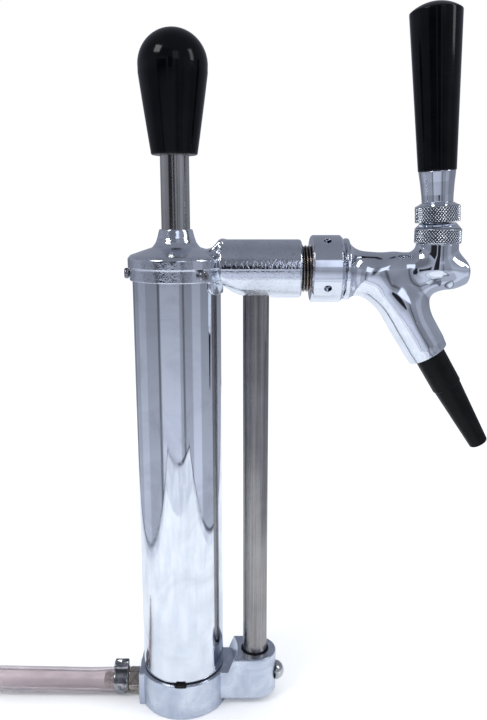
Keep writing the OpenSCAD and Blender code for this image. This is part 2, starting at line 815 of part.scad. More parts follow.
base_casting();
barrel_gasket();
base_o_ring();
pump_barrel();
head_casting();
cap_screws();
rod_bushing();
rod_seal();
plunger_rod();
plunger_knob();
top_bumper();
piston_plate();
piston_cup();
piston_washer();
piston_nut();
valve_seat();
check_ball();
check_spring();
hose_barb();
air_hose();
hose_clamp();
riser_tube();
riser_o_rings();
riser_gasket();
riser_lock_screw();
shank();
coupling_washer();
coupling_nut();
faucet_body();
valve_shaft();
shaft_o_ring();
seat_washer();
shaft_nut();
ball_washer();
friction_ring();
faucet_bonnet();
tap_lever();
lever_collar();
handle_ferrule();
tap_handle();
spout_nozzle();
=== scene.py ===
"""Looks of the beer tap tower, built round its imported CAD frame.

Lengths are millimetres in the row frame until a mesh is made, and metres from then on.
Castings are signed distance fields meshed with surface nets, turned parts are lathed profiles,
and every finish is a procedural material.
"""

import json
import math

import bpy
import numpy as np
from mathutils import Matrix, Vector


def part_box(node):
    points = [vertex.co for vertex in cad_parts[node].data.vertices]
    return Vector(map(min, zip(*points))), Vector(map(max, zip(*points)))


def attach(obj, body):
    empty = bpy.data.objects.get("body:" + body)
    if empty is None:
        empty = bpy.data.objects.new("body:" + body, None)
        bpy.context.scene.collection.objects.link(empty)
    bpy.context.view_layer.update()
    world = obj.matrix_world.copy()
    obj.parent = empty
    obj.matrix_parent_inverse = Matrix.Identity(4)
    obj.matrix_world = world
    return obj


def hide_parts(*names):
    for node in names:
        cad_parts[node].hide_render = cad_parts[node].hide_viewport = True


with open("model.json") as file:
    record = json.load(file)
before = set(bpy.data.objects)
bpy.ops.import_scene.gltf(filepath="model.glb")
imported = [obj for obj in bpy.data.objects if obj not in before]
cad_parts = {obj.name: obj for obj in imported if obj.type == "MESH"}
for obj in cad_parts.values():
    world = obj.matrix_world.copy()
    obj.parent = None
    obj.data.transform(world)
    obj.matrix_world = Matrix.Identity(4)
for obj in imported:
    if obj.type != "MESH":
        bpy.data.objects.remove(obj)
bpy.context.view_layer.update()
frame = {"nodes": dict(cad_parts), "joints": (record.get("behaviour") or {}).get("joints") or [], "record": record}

MM = 0.001


# ---- driving dimensions ----

def span(node):
    """Lowest and highest corner of a CAD node, in millimetres."""
    low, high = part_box(node)
    return np.array(low) / MM, np.array(high) / MM


def joint(name):
    return next(j for j in frame["joints"] if j["name"] == name)


BARREL_LOW, BARREL_HIGH = span("pump_barrel")
BARREL_R = (BARREL_HIGH[0] - BARREL_LOW[0]) / 2
BARREL_WALL = 1.6
NUT_LOW, NUT_HIGH = span("coupling_nut")
ARM_Z = (NUT_LOW[2] + NUT_HIGH[2]) / 2
HEAD_LOW, HEAD_HIGH = span("head_casting")
ARM_END = HEAD_HIGH[0]
NECK_TOP = HEAD_HIGH[2]
TUBE_LOW, TUBE_HIGH = span("riser_tube")
RISER_X = (TUBE_LOW[0] + TUBE_HIGH[0]) / 2
RISER_R = (TUBE_HIGH[0] - TUBE_LOW[0]) / 2
BASE_LOW, BASE_HIGH = span("base_casting")
TAP_LOW, TAP_HIGH = span("faucet_body")
PIVOT = np.array(joint("lever_tilt")["pos_m"]) / MM
KNOB_LOW, KNOB_HIGH = span("plunger_knob")
ROD_LOW, ROD_HIGH = span("plunger_rod")
HOSE_LOW, HOSE_HIGH = span("air_hose")
HOSE_Z = (HOSE_LOW[2] + HOSE_HIGH[2]) / 2
HOSE_R = (HOSE_HIGH[2] - HOSE_LOW[2]) / 2
PAD_X = -BASE_LOW[0]
RING_R = -BASE_LOW[1]
RING_TOP = 22.7
BLOCK_TOP = 31.3
BLOCK_FOOT = 4.0
BLOCK_R = 13.3
INLET_R = 7.475
LOCK_SCREW_Z = 15.5
LEVER_LEAN = math.radians(3.6)
SPOUT_LEAN = math.radians(31)
SPOUT_LENGTH = 56.7
LEVER_AXIS = np.array([-math.sin(LEVER_LEAN), 0, math.cos(LEVER_LEAN)])
BONNET_R, COLLAR_R = 13.0, 12.4
STEM_HOLE_R = 4.55
X_AXIS, Y_AXIS, Z_AXIS = np.eye(3)


# ---- meshes ----

def make_object(name, vertices, faces, material, body, replaced=(), normals=None, sharp=40):
    """A mesh object from millimetre vertices, riding on a CAD body and standing for CAD nodes."""
    mesh = bpy.data.meshes.new(name)
    mesh.from_pydata((np.asarray(vertices) * MM).tolist(), [], [list(map(int, f)) for f in faces])
    mesh.validate()
    mesh.polygons.foreach_set("use_smooth", [True] * len(mesh.polygons))
    if normals is not None:
        mesh.normals_split_custom_set_from_vertices(np.asarray(normals).tolist())
    elif sharp:
        mesh.set_sharp_from_angle(angle=math.radians(sharp))
    mesh.materials.append(material)
    piece = bpy.data.objects.new(name, mesh)
    bpy.context.scene.collection.objects.link(piece)
    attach(piece, body)
    if replaced:
        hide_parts(*replaced)
    return piece


def frame_of(axis):
    """Two unit vectors that make a right-handed frame with axis."""
    axis = np.asarray(axis, float)
    axis = axis / np.linalg.norm(axis)
    helper = X_AXIS if abs(axis[0]) < 0.9 else Y_AXIS
    side = np.cross(axis, helper)
    side /= np.linalg.norm(side)
    return side, np.cross(axis, side), axis


def rounded(corners, steps=5):
    """A polyline through (r, h, fillet) corners with each fillet drawn as an arc."""
    points = []
    count = len(corners)
    for i, (r, h, fillet) in enumerate(corners):
        here = np.array([r, h], float)
        if fillet <= 0 or i == 0 or i == count - 1:
            points.append(here)
            continue
        before = np.array(corners[i - 1][:2], float) - here
        after = np.array(corners[i + 1][:2], float) - here
        before_l, after_l = np.linalg.norm(before), np.linalg.norm(after)
        before, after = before / before_l, after / after_l
        half = math.acos(np.clip(before @ after, -1, 1)) / 2
        reach = min(fillet / max(math.tan(half), 1e-6), 0.49 * before_l, 0.49 * after_l)
        radius = reach * math.tan(half)
        bisector = before + after
        bisector /= max(np.linalg.norm(bisector), 1e-9)
        centre = here + bisector * radius / math.sin(half)
        start, end = here + before * reach - centre, here + after * reach - centre
        turn = math.atan2(start[0] * end[1] - start[1] * end[0], start @ end)
        for s in range(steps + 1):
            a = turn * s / steps
            c, w = math.cos(a), math.sin(a)
            points.append(centre + [start[0] * c - start[1] * w, start[0] * w + start[1] * c])
    return np.array(points)


def arc(cr, ch, radius, a0, a1, steps=24):
    """Corners along an arc in the (r, h) plane, angles in degrees from +r."""
    angles = np.radians(np.linspace(a0, a1, steps + 1))
    return [(cr + radius * math.cos(a), ch + radius * math.sin(a), 0) for a in angles]


def skin(rows, closed=True):
    """Quads between each row of vertices and the next; rows and columns wrap round."""
    faces = []
    for a, b in zip(rows, rows[1:] + rows[:1] if closed else rows[1:]):
        for j in range(len(a)):
            k = (j + 1) % len(a)
            faces.append([a[j], a[k], b[k], b[j]])
    return faces


def lathe_mesh(profile, origin, axis, segments=160, radius_at=None, ring=False):
    """Vertices and faces of a profile turned about an axis; radius_at(angle, h, r) may carve it."""
    side, up, axis = frame_of(axis)
    profile = np.asarray(profile, float)[:, :2]
    angles = np.linspace(0, 2 * math.pi, segments, endpoint=False)
    vertices, rows = [], []
    for r, h in profile:
        if r < 1e-6 and not ring:
            rows.append([len(vertices)])
            vertices.append(origin + axis * h)
            continue
        radii = np.full(segments, r) if radius_at is None else radius_at(angles, h, r)
        rows.append(list(range(len(vertices), len(vertices) + segments)))
        circle = np.cos(angles)[:, None] * side + np.sin(angles)[:, None] * up
        vertices.extend(origin + axis * h + circle * radii[:, None])
    faces = skin([row for row in rows if len(row) > 1], ring)
    for j in range(segments):
        k = (j + 1) % segments
        if len(rows[0]) == 1:
            faces.append([rows[0][0], rows[1][k], rows[1][j]])
        if len(rows[-1]) == 1:
            faces.append([rows[-2][j], rows[-2][k], rows[-1][0]])
    return np.array(vertices), faces


def guarded(profile, ring, gap=0.4):
    """Adds a point just inside each end of a long straight, so its shading stays true to the straight."""
    points = []
    for n, a in enumerate(profile):
        points.append(a)
        b = profile[(n + 1) % len(profile)]
        length = math.dist(a, b)
        if length > 6 * gap and (ring or n + 1 < len(profile)):
            step = (b - a) * gap / length
            points += [a + step, b - step]
    return np.array(points)


def lathe(name, corners, origin, axis, material, body, replaced=(), segments=160,
          radius_at=None, ring=False, sharp=40, steps=5):
    """A turned piece from (r, h, fillet) corners."""
    profile = guarded(np.asarray(rounded(corners, steps), float)[:, :2], ring)
    if ring:
        area = sum(a[0] * b[1] - b[0] * a[1] for a, b in zip(profile, np.roll(profile, -1, 0)))
        profile = profile if area > 0 else profile[::-1]
    elif profile[-1][1] < profile[0][1]:
        profile = profile[::-1]
    vertices, faces = lathe_mesh(profile, np.asarray(origin, float), axis, segments, radius_at, ring)
    return make_object(name, vertices, faces, material, body, replaced, sharp=sharp)


# ---- signed distance fields ----

def cone(a, b, radius_a, radius_b, rounding=0.0):
    """Distance to a capped cone from a to b with rounded rims."""
    a, b = np.asarray(a, float), np.asarray(b, float)
    axis = b - a
    length = np.linalg.norm(axis)
    axis /= length
    slope = (radius_b - radius_a) / length
    steep = 1 / math.hypot(1, slope)

    def field(p):
        along = (p - a) @ axis
        radial = np.linalg.norm(p - a - along[:, None] * axis, axis=1)
        radial = (radial - radius_a - slope * along) * steep + rounding
        axial = np.abs(along - length / 2) - length / 2 + rounding
        outside = np.hypot(np.maximum(radial, 0), np.maximum(axial, 0))
        return outside + np.minimum(np.maximum(radial, axial), 0) - rounding
    return field


def cylinder(a, b, radius, rounding=0.0):
    return cone(a, b, radius, radius, rounding)


def upright(x, z0, z1, radius, rounding=0.0):
    """A cylinder parallel to the pump, at distance x from its axis."""
    return cylinder((x, 0, z0), (x, 0, z1), radius, rounding)


def level(x0, x1, z, radius, rounding=0.0):
    """A cylinder along X at height z."""
    return cylinder((x0, 0, z), (x1, 0, z), radius, rounding)


def ball(centre, radius):
    return lambda p: np.linalg.norm(p - centre, axis=1) - radius


def slab(low, high, rounding=0.0):
    """Distance to an axis-aligned box."""
    centre = (np.asarray(low, float) + high) / 2
    half = (np.asarray(high, float) - low) / 2 - rounding

    def field(p):
        q = np.abs(p - centre) - half
        return np.linalg.norm(np.maximum(q, 0), axis=1) + np.minimum(q.max(1), 0) - rounding
    return field


def half_space(point, normal):
    """Negative behind the plane through point."""
    normal = np.asarray(normal, float) / np.linalg.norm(normal)
    return lambda p: (p - point) @ normal


def revolved(corners, origin, axis):
    """Distance to a turned solid, from its closed (r, h) outline."""
    side, up, axis = frame_of(axis)
    outline = rounded(corners, 6)
    ends = np.roll(outline, -1, 0)

    def field(p):
        q = p - origin
        h = q @ axis
        r = np.linalg.norm(q - h[:, None] * axis, axis=1)
        nearest = np.full(len(p), np.inf)
        inside = np.zeros(len(p), bool)
        for (r0, h0), (r1, h1) in zip(outline, ends):
            dr, dh = r1 - r0, h1 - h0
            square = dr * dr + dh * dh
            if square < 1e-12:
                continue
            t = np.clip(((r - r0) * dr + (h - h0) * dh) / square, 0, 1)
            if max(r0, r1) > 1e-6:
                nearest = np.minimum(nearest, (r - r0 - t * dr) ** 2 + (h - h0 - t * dh) ** 2)
            if h0 != h1:
                crosses = (h0 > h) != (h1 > h)
                inside ^= crosses & (r < dr * (h - h0) / dh + r0)
        return np.where(inside, -1, 1) * np.sqrt(nearest)
    return field


def join(a, b, fillet=0.0):
    """Union with a round fillet."""
    def field(p):
        x, y = a(p), b(p)
        if fillet <= 0:
            return np.minimum(x, y)
        u, v = np.maximum(fillet - x, 0), np.maximum(fillet - y, 0)
        return np.maximum(fillet, np.minimum(x, y)) - np.hypot(u, v)
    return field


def flipped(field):
    return lambda p: -field(p)


def meet(a, b, edge=0.0):
    """Intersection with a rounded edge."""
    return flipped(join(flipped(a), flipped(b), edge))


def carve(a, b, edge=0.0):
    """a with b taken away, and the new edge rounded."""
    return flipped(join(flipped(a), b, edge))


def bored(solid, *holes):
    """Takes away each (hole, edge rounding) in turn."""
    for hole, edge in holes:
        solid = carve(solid, hole, edge)
    return solid


BLOCK = 4    # samples along each side of a coarse block


def sample_field(field, low, high, cell):
    """Field values on a lattice; only blocks near the surface are evaluated finely."""
    low = np.asarray(low, float) - 2.5 * cell
    counts = np.ceil((np.asarray(high, float) + 2.5 * cell - low) / (cell * BLOCK)).astype(int) + 1
    blocks = np.stack(np.meshgrid(*[np.arange(n) for n in counts], indexing="ij"), -1).reshape(-1, 3)
    centres = low + (blocks * BLOCK + (BLOCK - 1) / 2) * cell
    coarse = field(centres)
    values = np.repeat(coarse[:, None], BLOCK ** 3, 1)
    near = np.abs(coarse) < (0.87 * BLOCK + 2) * cell
    offsets = np.stack(np.meshgrid(*[np.arange(BLOCK)] * 3, indexing="ij"), -1).reshape(-1, 3)
    fine = (low + (blocks[near][:, None, :] * BLOCK + offsets[None]) * cell).reshape(-1, 3)
    parts = [field(chunk) for chunk in np.array_split(fine, max(1, len(fine) // 400000))]
    values[near] = np.concatenate(parts).reshape(-1, BLOCK ** 3)
    values = values.reshape(*counts, BLOCK, BLOCK, BLOCK)
    values = values.transpose(0, 3, 1, 4, 2, 5).reshape(counts * BLOCK)
    return values, low


def gradient(field, points, step=0.02):
    columns = []
    for axis in np.eye(3):
        columns.append((field(points + axis * step) - field(points - axis * step)) / (2 * step))
    return np.stack(columns, 1)


def surface_nets(values, low, cell):
    """Quads round the zero level of a lattice, one vertex per cell that it crosses."""
    inside = values < 0
    shape = np.array(values.shape) - 1
    total = np.zeros((*shape, 3))
    crossed = np.zeros(shape)
    corners = [(i, j, k) for i in (0, 1) for j in (0, 1) for k in (0, 1)]

    def at(grid, c):
        return grid[c[0]:c[0] + shape[0], c[1]:c[1] + shape[1], c[2]:c[2] + shape[2]]
    for axis in range(3):
        for a in corners:
            if a[axis]:
                continue
            b = tuple(c + (n == axis) for n, c in enumerate(a))
            va, vb = at(values, a), at(values, b)
            cut = at(inside, a) != at(inside, b)
            t = np.zeros(shape)
            t[cut] = va[cut] / (va[cut] - vb[cut])
            point = np.zeros((*shape, 3))
            for n in range(3):
                point[..., n] = (a[n] + (t if n == axis else 0)) * cut
            total += point
            crossed += cut
    active = crossed > 0
    index = np.full(shape, -1)
    index[active] = np.arange(active.sum())
    cells = np.argwhere(active)
    vertices = low + (cells + total[active] / crossed[active][:, None]) * cell
    faces = []
    for axis in range(3):
        first, second = (axis + 1) % 3, (axis + 2) % 3
        here = [slice(0, None)] * 3
        there = [slice(0, None)] * 3
        here[axis], there[axis] = slice(0, -1), slice(1, None)
        changes = inside[tuple(here)] != inside[tuple(there)]
        edges = np.argwhere(changes)
        edges = edges[(edges[:, first] > 0) & (edges[:, second] > 0)]
        outward = inside[tuple(here)][tuple(edges.T)]
        quads = []
        for df, ds in ((1, 1), (0, 1), (0, 0), (1, 0)):
            around = edges.copy()
            around[:, first] -= df
            around[:, second] -= ds
            quads.append(index[tuple(around.T)])
        quads = np.stack(quads, 1)
        quads[~outward] = quads[~outward][:, ::-1]
        faces.append(quads)
    return vertices, np.concatenate(faces)


def cast(name, field, low, high, cell, material, body, replaced=()):
    """A piece meshed from a distance field, with its points and normals taken from the field."""
    values, start = sample_field(field, low, high, cell)
    vertices, faces = surface_nets(values, start, cell)
    for _ in range(4):
        slope = gradient(field, vertices)
        size = np.maximum((slope ** 2).sum(1), 0.2)
        step = slope * (field(vertices) / size)[:, None]
        length = np.linalg.norm(step, axis=1, keepdims=True)
        vertices = vertices - step * np.minimum(1, 0.6 * cell / np.maximum(length, 1e-9))
    normals = gradient(field, vertices, 0.08)
    normals /= np.maximum(np.linalg.norm(normals, axis=1, keepdims=True), 1e-9)
    return make_object(name, vertices, faces, material, body, replaced, normals=normals)


# ---- materials ----

class NodeTree:
    """Adds shader nodes with short calls."""

    def start(self, owner):
        owner.use_nodes = True
        self.tree = owner.node_tree
        self.tree.nodes.clear()

    def add(self, kind, inputs=None, **settings):
        node = self.tree.nodes.new("ShaderNode" + kind)
        for key, value in settings.items():
            setattr(node, key, value)
        for key, value in (inputs or {}).items():
            self.put(node.inputs[key], value)
        return node

    def put(self, socket, value):
        if isinstance(value, bpy.types.NodeSocket):
            self.tree.links.new(value, socket)
        else:
            socket.default_value = value

    def math(self, operation, a, b=0.0):
        return self.add("Math", {0: a, 1: b}, operation=operation).outputs["Value"]

    def times(self, a, b):
        return self.math("MULTIPLY", a, b)

    def vector(self, operation, *inputs):
        return self.add("VectorMath", dict(enumerate(inputs)), operation=operation)

    def remap(self, value, low, high, to_low=0.0, to_high=1.0, **settings):
        return self.add("MapRange", {
            "Value": value, "From Min": low, "From Max": high, "To Min": to_low,
            "To Max": to_high}, **settings).outputs["Result"]

    def mix(self, factor, a, b, blend="MIX"):
        return self.add("Mix", {0: factor, 6: a, 7: b}, data_type="RGBA", blend_type=blend).outputs[2]


class Shader(NodeTree):
    """One surface material."""

    def __init__(self, name):
        self.material = bpy.data.materials.new(name)
        self.start(self.material)
        self.output = self.add("OutputMaterial")
        self.coordinates = self.add("NewGeometry").outputs["Position"]

    def stretched(self, scale):
        """Object coordinates scaled per axis, for streaks."""
        return self.add("Mapping", {"Vector": self.coordinates, "Scale": scale}).outputs["Vector"]

    def noise(self, scale, detail=3.0, roughness=0.5, vector=None, distortion=0.0):
        return self.add("TexNoise", {
            "Vector": vector or self.coordinates, "Scale": scale, "Detail": detail,
            "Roughness": roughness, "Distortion": distortion}).outputs["Fac"]

    def shade(self, mask, low, high, first, second):
        """From the first colour to the second as the mask goes from low to high."""
        return self.mix(self.remap(mask, low, high), colour(*first), colour(*second))

    def bump(self, height, strength, distance, normal=None):
        inputs = {"Height": height, "Strength": strength, "Distance": distance}
        if normal is not None:
            inputs["Normal"] = normal
        return self.add("Bump", inputs).outputs["Normal"]

    def fine_grain(self):
        return self.bump(self.noise(1800, 3, 0.6), 0.12, 0.00004)

    def edge_wear(self, radius, low, high):
        """1 near edges and 0 on open surfaces, from how far the bevelled normal leans."""
        bevel = self.add("Bevel", {"Radius": radius}, samples=4).outputs["Normal"]
        plain = self.add("NewGeometry").outputs["Normal"]
        return self.remap(self.vector("DOT_PRODUCT", bevel, plain).outputs["Value"], high, low)

    def finish(self, inputs):
        shader = self.add("BsdfPrincipled", inputs)
        self.put(self.output.inputs["Surface"], shader.outputs["BSDF"])
        return self.material

    def metal(self, base, rough, normal, anisotropic=0.0):
        return self.finish({"Base Color": base, "Metallic": 1.0, "Roughness": rough, "Normal": normal,
                            "Anisotropic": anisotropic})


def colour(r, g, b):
    return (r, g, b, 1.0)


def chrome_material(name, tint, haze=0.03, smudge=0.1, pebble=0.0, knurl=None):
    """Plated metal: smudges vary its haze, a pebbled casting shows under the plate, with painted shade in its
    pits.

    A knurl is (point on the axis, axis, outer radius): painted shade darkens its grooves by their depth.
    """
    s = Shader(name)
    clouds = s.noise(38, 4, 0.6, distortion=0.6)
    fine = s.noise(420, 2, 0.5)
    smear = s.remap(clouds, 0.45, 0.72)
    rough = s.math("ADD", s.remap(smear, 0, 1, haze, haze + smudge), s.remap(fine, 0.3, 0.8, 0, 0.015))
    base = s.mix(smear, colour(*tint), colour(*[0.84 * c for c in tint]))
    wobble = s.bump(s.noise(60, 2, 0.5), 0.05, 0.0006)
    if pebble:
        lumps = s.noise(620, 2, 0.5, distortion=0.6)
        wobble = s.bump(lumps, pebble, 0.0004, wobble)
        wobble = s.bump(s.noise(1500, 2, 0.5), pebble, 0.0001, wobble)
        # Painted shade: the pebbles' pits, where the lumps are low, turn darker
        base = s.mix(s.remap(lumps, 0.30, 0.42, 0.5, 0), base, colour(*[0.6 * c for c in tint]))
    if knurl:
        point, axis, outer = knurl
        place = s.add("TexCoord").outputs["Object"]
        reach = s.vector("SUBTRACT", place, tuple(point * MM)).outputs[0]
        swing = s.vector("CROSS_PRODUCT", reach, tuple(axis)).outputs[0]
        radius = s.vector("LENGTH", swing).outputs["Value"]
        # Painted shade in the knurl's grooves, darker where they cut deeper
        groove = s.remap(radius, (outer - 0.30) * MM, (outer - 0.08) * MM, 1, 0)
        band = s.remap(radius, (outer - 0.60) * MM, (outer - 0.55) * MM)
        base = s.mix(s.times(groove, band), base, colour(0.13, 0.135, 0.15))
    return s.metal(base, rough, s.bump(s.noise(2600, 2, 0.6), 0.03, 0.00003, wobble))


def satin_casting_material():
    """Die-cast aluminium: cloudy, with a fine grain and brighter worn edges."""
    s = Shader("satin_casting")
    clouds = s.noise(55, 4, 0.6, distortion=0.8)
    base = s.shade(clouds, 0.35, 0.65, (0.50, 0.545, 0.64), (0.70, 0.74, 0.82))
    worn = s.edge_wear(0.0007, 0.8, 0.99)
    base = s.mix(worn, base, colour(0.92, 0.94, 0.97))
    rough = s.math("ADD", s.remap(clouds, 0.3, 0.7, 0.34, 0.24), s.times(worn, -0.08))
    grain = s.bump(s.noise(1500, 3, 0.6), 0.12, 0.00005)
    return s.metal(base, rough, s.bump(s.noise(160, 2, 0.5), 0.12, 0.0004, grain))


def drawn_steel_material(name, dark, light, rough_low, rough_high, along=(900, 900, 14)):
    """Tube or bar drawn or ground along one axis: long fine streaks in colour and sheen."""
    s = Shader(name)
    streaks = s.noise(1.0, 3, 0.6, s.stretched(along))
    blotches = s.noise(70, 3, 0.5)
    blend = s.math("ADD", s.times(streaks, 0.65), s.times(blotches, 0.35))
    base = s.shade(blend, 0.35, 0.65, dark, light)
    rough = s.remap(streaks, 0.3, 0.7, rough_low, rough_high)
    return s.metal(base, rough, s.bump(streaks, 0.12, 0.00004), 0.4)


def machined_material(name, dark, light, rough):
    """Turned or plated small hardware, with stained hollows and bright edges."""
    s = Shader(name)
    stains = s.noise(330, 4, 0.6, distortion=0.5)
    base = s.shade(stains, 0.38, 0.66, light, dark)
    worn = s.edge_wear(0.0003, 0.75, 0.98)
    base = s.mix(s.times(worn, 0.7), base, colour(*[min(1, c * 1.35) for c in light]))
    return s.metal(base, s.remap(stains, 0.3, 0.7, rough * 0.75, rough * 1.35), s.fine_grain())


def thread_material():
    """Nickelled thread, near black in its roots, from the distance to the shank's axis."""
    s = Shader("shank_thread")
    place = s.add("SeparateXYZ", {0: s.coordinates}).outputs
    rise = s.math("SUBTRACT", place[2], ARM_Z * MM)
    radius = s.math("SQRT", s.math("ADD", s.times(place[1], place[1]), s.times(rise, rise)))
    root = s.remap(radius, 0.01235, 0.01305, 1, 0)
    stains = s.noise(260, 4, 0.6, distortion=0.5)
    metal = s.shade(stains, 0.36, 0.66, (0.58, 0.52, 0.48), (0.27, 0.22, 0.18))
    base = s.mix(root, metal, colour(0.035, 0.028, 0.024))
    return s.metal(base, s.remap(stains, 0.3, 0.7, 0.2, 0.34), s.fine_grain())


def black_material(name, base, rough, shine, grain_size=0.9, grain=0.03):
    """Moulded black plastic or rubber: faint mottling, dust haze and rubbed edges."""
    s = Shader(name)
    mottle = s.noise(90, 4, 0.6)
    tone = s.shade(mottle, 0.35, 0.7, base, [c * 1.8 + 0.0004 for c in base])
    worn = s.edge_wear(0.0006, 0.8, 0.99)
    tone = s.mix(s.times(worn, 0.3), tone, colour(*[c * 3 + 0.004 for c in base]))
    dust = s.remap(s.noise(700, 2, 0.5), 0.55, 0.8, 0, 0.05)
    haze = s.math("ADD", s.remap(mottle, 0.3, 0.7, rough * 0.8, rough * 1.25), dust)
    bump = s.bump(s.noise(1000 / grain_size, 3, 0.6), grain, 0.00004)
    return s.finish({"Base Color": tone, "Roughness": haze, "Normal": bump, "Specular IOR Level": shine})


def hose_material():
    """Soft clear tubing with a faint pink cast and a cloudy wall."""
    s = Shader("clear_hose")
    mottle = s.noise(120, 3, 0.6, s.stretched((0.5, 1, 1)))
    tint = s.shade(mottle, 0.3, 0.7, (0.98, 0.90, 0.91), (0.93, 0.82, 0.83))
    lines = s.bump(s.noise(1.0, 2, 0.5, s.stretched((12, 420, 420))), 0.12, 0.0001)
    lines = s.bump(s.noise(1.0, 2, 0.5, s.stretched((60, 160, 160))), 0.15, 0.0004, lines)
    clear = s.add("BsdfPrincipled", {
        "Base Color": tint, "Roughness": s.remap(mottle, 0.3, 0.7, 0.03, 0.12),
        "Transmission Weight": 1.0, "IOR": 1.36, "Normal": lines, "Coat Weight": 0.4})
    milky = s.add("BsdfPrincipled", {
        "Base Color": colour(0.66, 0.58, 0.60), "Roughness": 0.2, "Normal": lines})
    cloudy = s.remap(mottle, 0.35, 0.65, 0.10, 0.26)
    blend = s.add("MixShader", {0: cloudy, 1: clear.outputs[0], 2: milky.outputs[0]})
    s.put(s.output.inputs["Surface"], blend.outputs[0])
    return s.material


CHROME = chrome_material("polished_chrome", (0.80, 0.83, 0.89), 0.02, 0.07)
BARREL_CHROME = chrome_material("barrel_chrome", (0.82, 0.85, 0.90), 0.025, 0.16)
PEBBLED = chrome_material("cast_chrome", (0.78, 0.81, 0.87), 0.03, 0.06, pebble=0.27)
KNURL_TINT = (0.84, 0.87, 0.92)
BONNET_CHROME = chrome_material("bonnet_chrome", KNURL_TINT, 0.06, 0.08, knurl=(PIVOT, Z_AXIS, BONNET_R))
COLLAR_CHROME = chrome_material("collar_chrome", KNURL_TINT, 0.06, 0.08, knurl=(PIVOT, LEVER_AXIS, COLLAR_R))
CASTING = satin_casting_material()
RISER_STEEL = drawn_steel_material("brushed_stainless", (0.25, 0.235, 0.23), (0.40, 0.38, 0.37), 0.22, 0.34)
ROD_STEEL = drawn_steel_material("rod_steel", (0.44, 0.42, 0.40), (0.62, 0.60, 0.58), 0.12, 0.22)
NICKEL = machined_material("nickel_brass", (0.20, 0.17, 0.14), (0.50, 0.45, 0.41), 0.24)
THREAD = thread_material()
BRASS = machined_material("brass", (0.45, 0.30, 0.11), (0.80, 0.62, 0.32), 0.3)
ZINC = machined_material("zinc_steel", (0.40, 0.40, 0.40), (0.70, 0.70, 0.71), 0.2)
CLAMP_STEEL = machined_material("clamp_steel", (0.16, 0.16, 0.17), (0.50, 0.50, 0.52), 0.2)
GLOSS_BLACK = black_material("black_gloss", (0.0012, 0.0012, 0.0018), 0.10, 0.16)
SATIN_BLACK = black_material("black_satin", (0.003, 0.003, 0.0035), 0.34, 0.12, 0.7, 0.1)
RUBBER = black_material("black_rubber", (0.006, 0.006, 0.0065), 0.5, 0.2, 0.5, 0.15)
WHITE = machined_material("white_ptfe", (0.7, 0.7, 0.68), (0.88, 0.88, 0.86), 0.5)
HOSE = hose_material()

SLOT_MATERIALS = {
    "polished_chrome": CHROME, "cast_chrome": PEBBLED, "satin_casting": CASTING,
    "brushed_stainless": RISER_STEEL, "rod_steel": ROD_STEEL, "nickel_brass": NICKEL, "brass": BRASS,
    "zinc_steel": ZINC, "black_gloss": GLOSS_BLACK, "black_satin": SATIN_BLACK,
    "black_rubber": RUBBER, "clear_hose": HOSE, "white_ptfe": WHITE,
}
for entry in frame["record"]["subparts"]:
    cad_mesh = frame["nodes"][entry["node"]].data
    for n in range(len(cad_mesh.materials)):
        cad_mesh.materials[n] = SLOT_MATERIALS[entry["material_slot"]]


# ---- base ----

def base_field():
    """Ring, hose pad and riser block with cast radii, then everything bored out of them."""
    ring = revolved([(0, 0, 0), (RING_R, 0, 1.0), (RING_R, RING_TOP - 0.1, 0.5),
                     (BARREL_R + 0.6, RING_TOP, 0), (0, RING_TOP, 0)], np.zeros(3), Z_AXIS)
    pad = slab((-PAD_X, -13, 0), (0, 13, RING_TOP - 1.2), 0.7)
    solid = join(ring, pad, 0.5)
    end = upright(RISER_X, BLOCK_FOOT, BLOCK_TOP, BLOCK_R, 1.2)
    flank = slab((0, -BLOCK_R, BLOCK_FOOT), (RISER_X, BLOCK_R, BLOCK_TOP), 1.2)
    block = join(end, flank)
    relief = cone((0, 0, RING_TOP), (0, 0, RING_TOP + 14), BARREL_R + 6.1, BARREL_R + 11.2)
    block = carve(block, relief, 0.5)
    solid = join(solid, block, 0.5)
    solid = join(solid, upright(0, 1, 36, BARREL_R - BARREL_WALL - 0.1, 0.6))
    groove = revolved([(21.2, 29, 0), (26, 29, 0), (26, 31.6, 0), (21.2, 31.6, 0)], np.zeros(3), Z_AXIS)
    notch = slab((-3.3, -RING_R - 2, RING_TOP - 0.9), (3.3, -24.5, RING_TOP + 3), 0.1)
    beer_way = [
        (upright(RISER_X, 0, 12, INLET_R), 0.4), (upright(RISER_X, 10, 20, 5.5), 0),
        (upright(RISER_X, 13, 40, RISER_R + 0.05), 0.3), (upright(RISER_X, 22.2, 24.6, RISER_R + 2.05), 0),
        (upright(RISER_X, BLOCK_TOP - 1, 40, RISER_R + 1.05), 0.25),
        (level(RISER_X, RISER_X + 20, LOCK_SCREW_Z, 3.05), 0.2)]
    air_way = [
        (level(-PAD_X - 2, -PAD_X + 9.4, HOSE_Z, 4.55), 0.2), (level(-PAD_X, 0, HOSE_Z, 2.5), 0),
        (upright(0, HOSE_Z - 3, 40, 2.1), 0), (upright(0, 12, 40, 4.2), 0), (upright(0, 31.4, 40, 7.05), 0.2)]
    return bored(solid, *beer_way, *air_way, (groove, 0.1), (notch, 0.15))


def build_base():
    cast("base_casting_body", base_field(), BASE_LOW, BASE_HIGH, 0.5, CASTING, "tower", ["base_casting"])


def build_lock_screw():
    """Domed socket screw in the end of the riser block."""
    x0 = RISER_X + BLOCK_R + 0.05
    dome = meet(ball((x0 - 0.75, 0, LOCK_SCREW_Z), 6.05), half_space((x0, 0, LOCK_SCREW_Z), (-1, 0, 0)), 0.3)
    stem = level(RISER_X + RISER_R + 0.1, x0 + 1, LOCK_SCREW_Z, 3.0, 0.3)
    cast("lock_screw", join(dome, stem), (52, -6.2, 9), (64, 6.2, 22), 0.25, ZINC, "tower",
         ["riser_lock_screw"])


# ---- pump ----

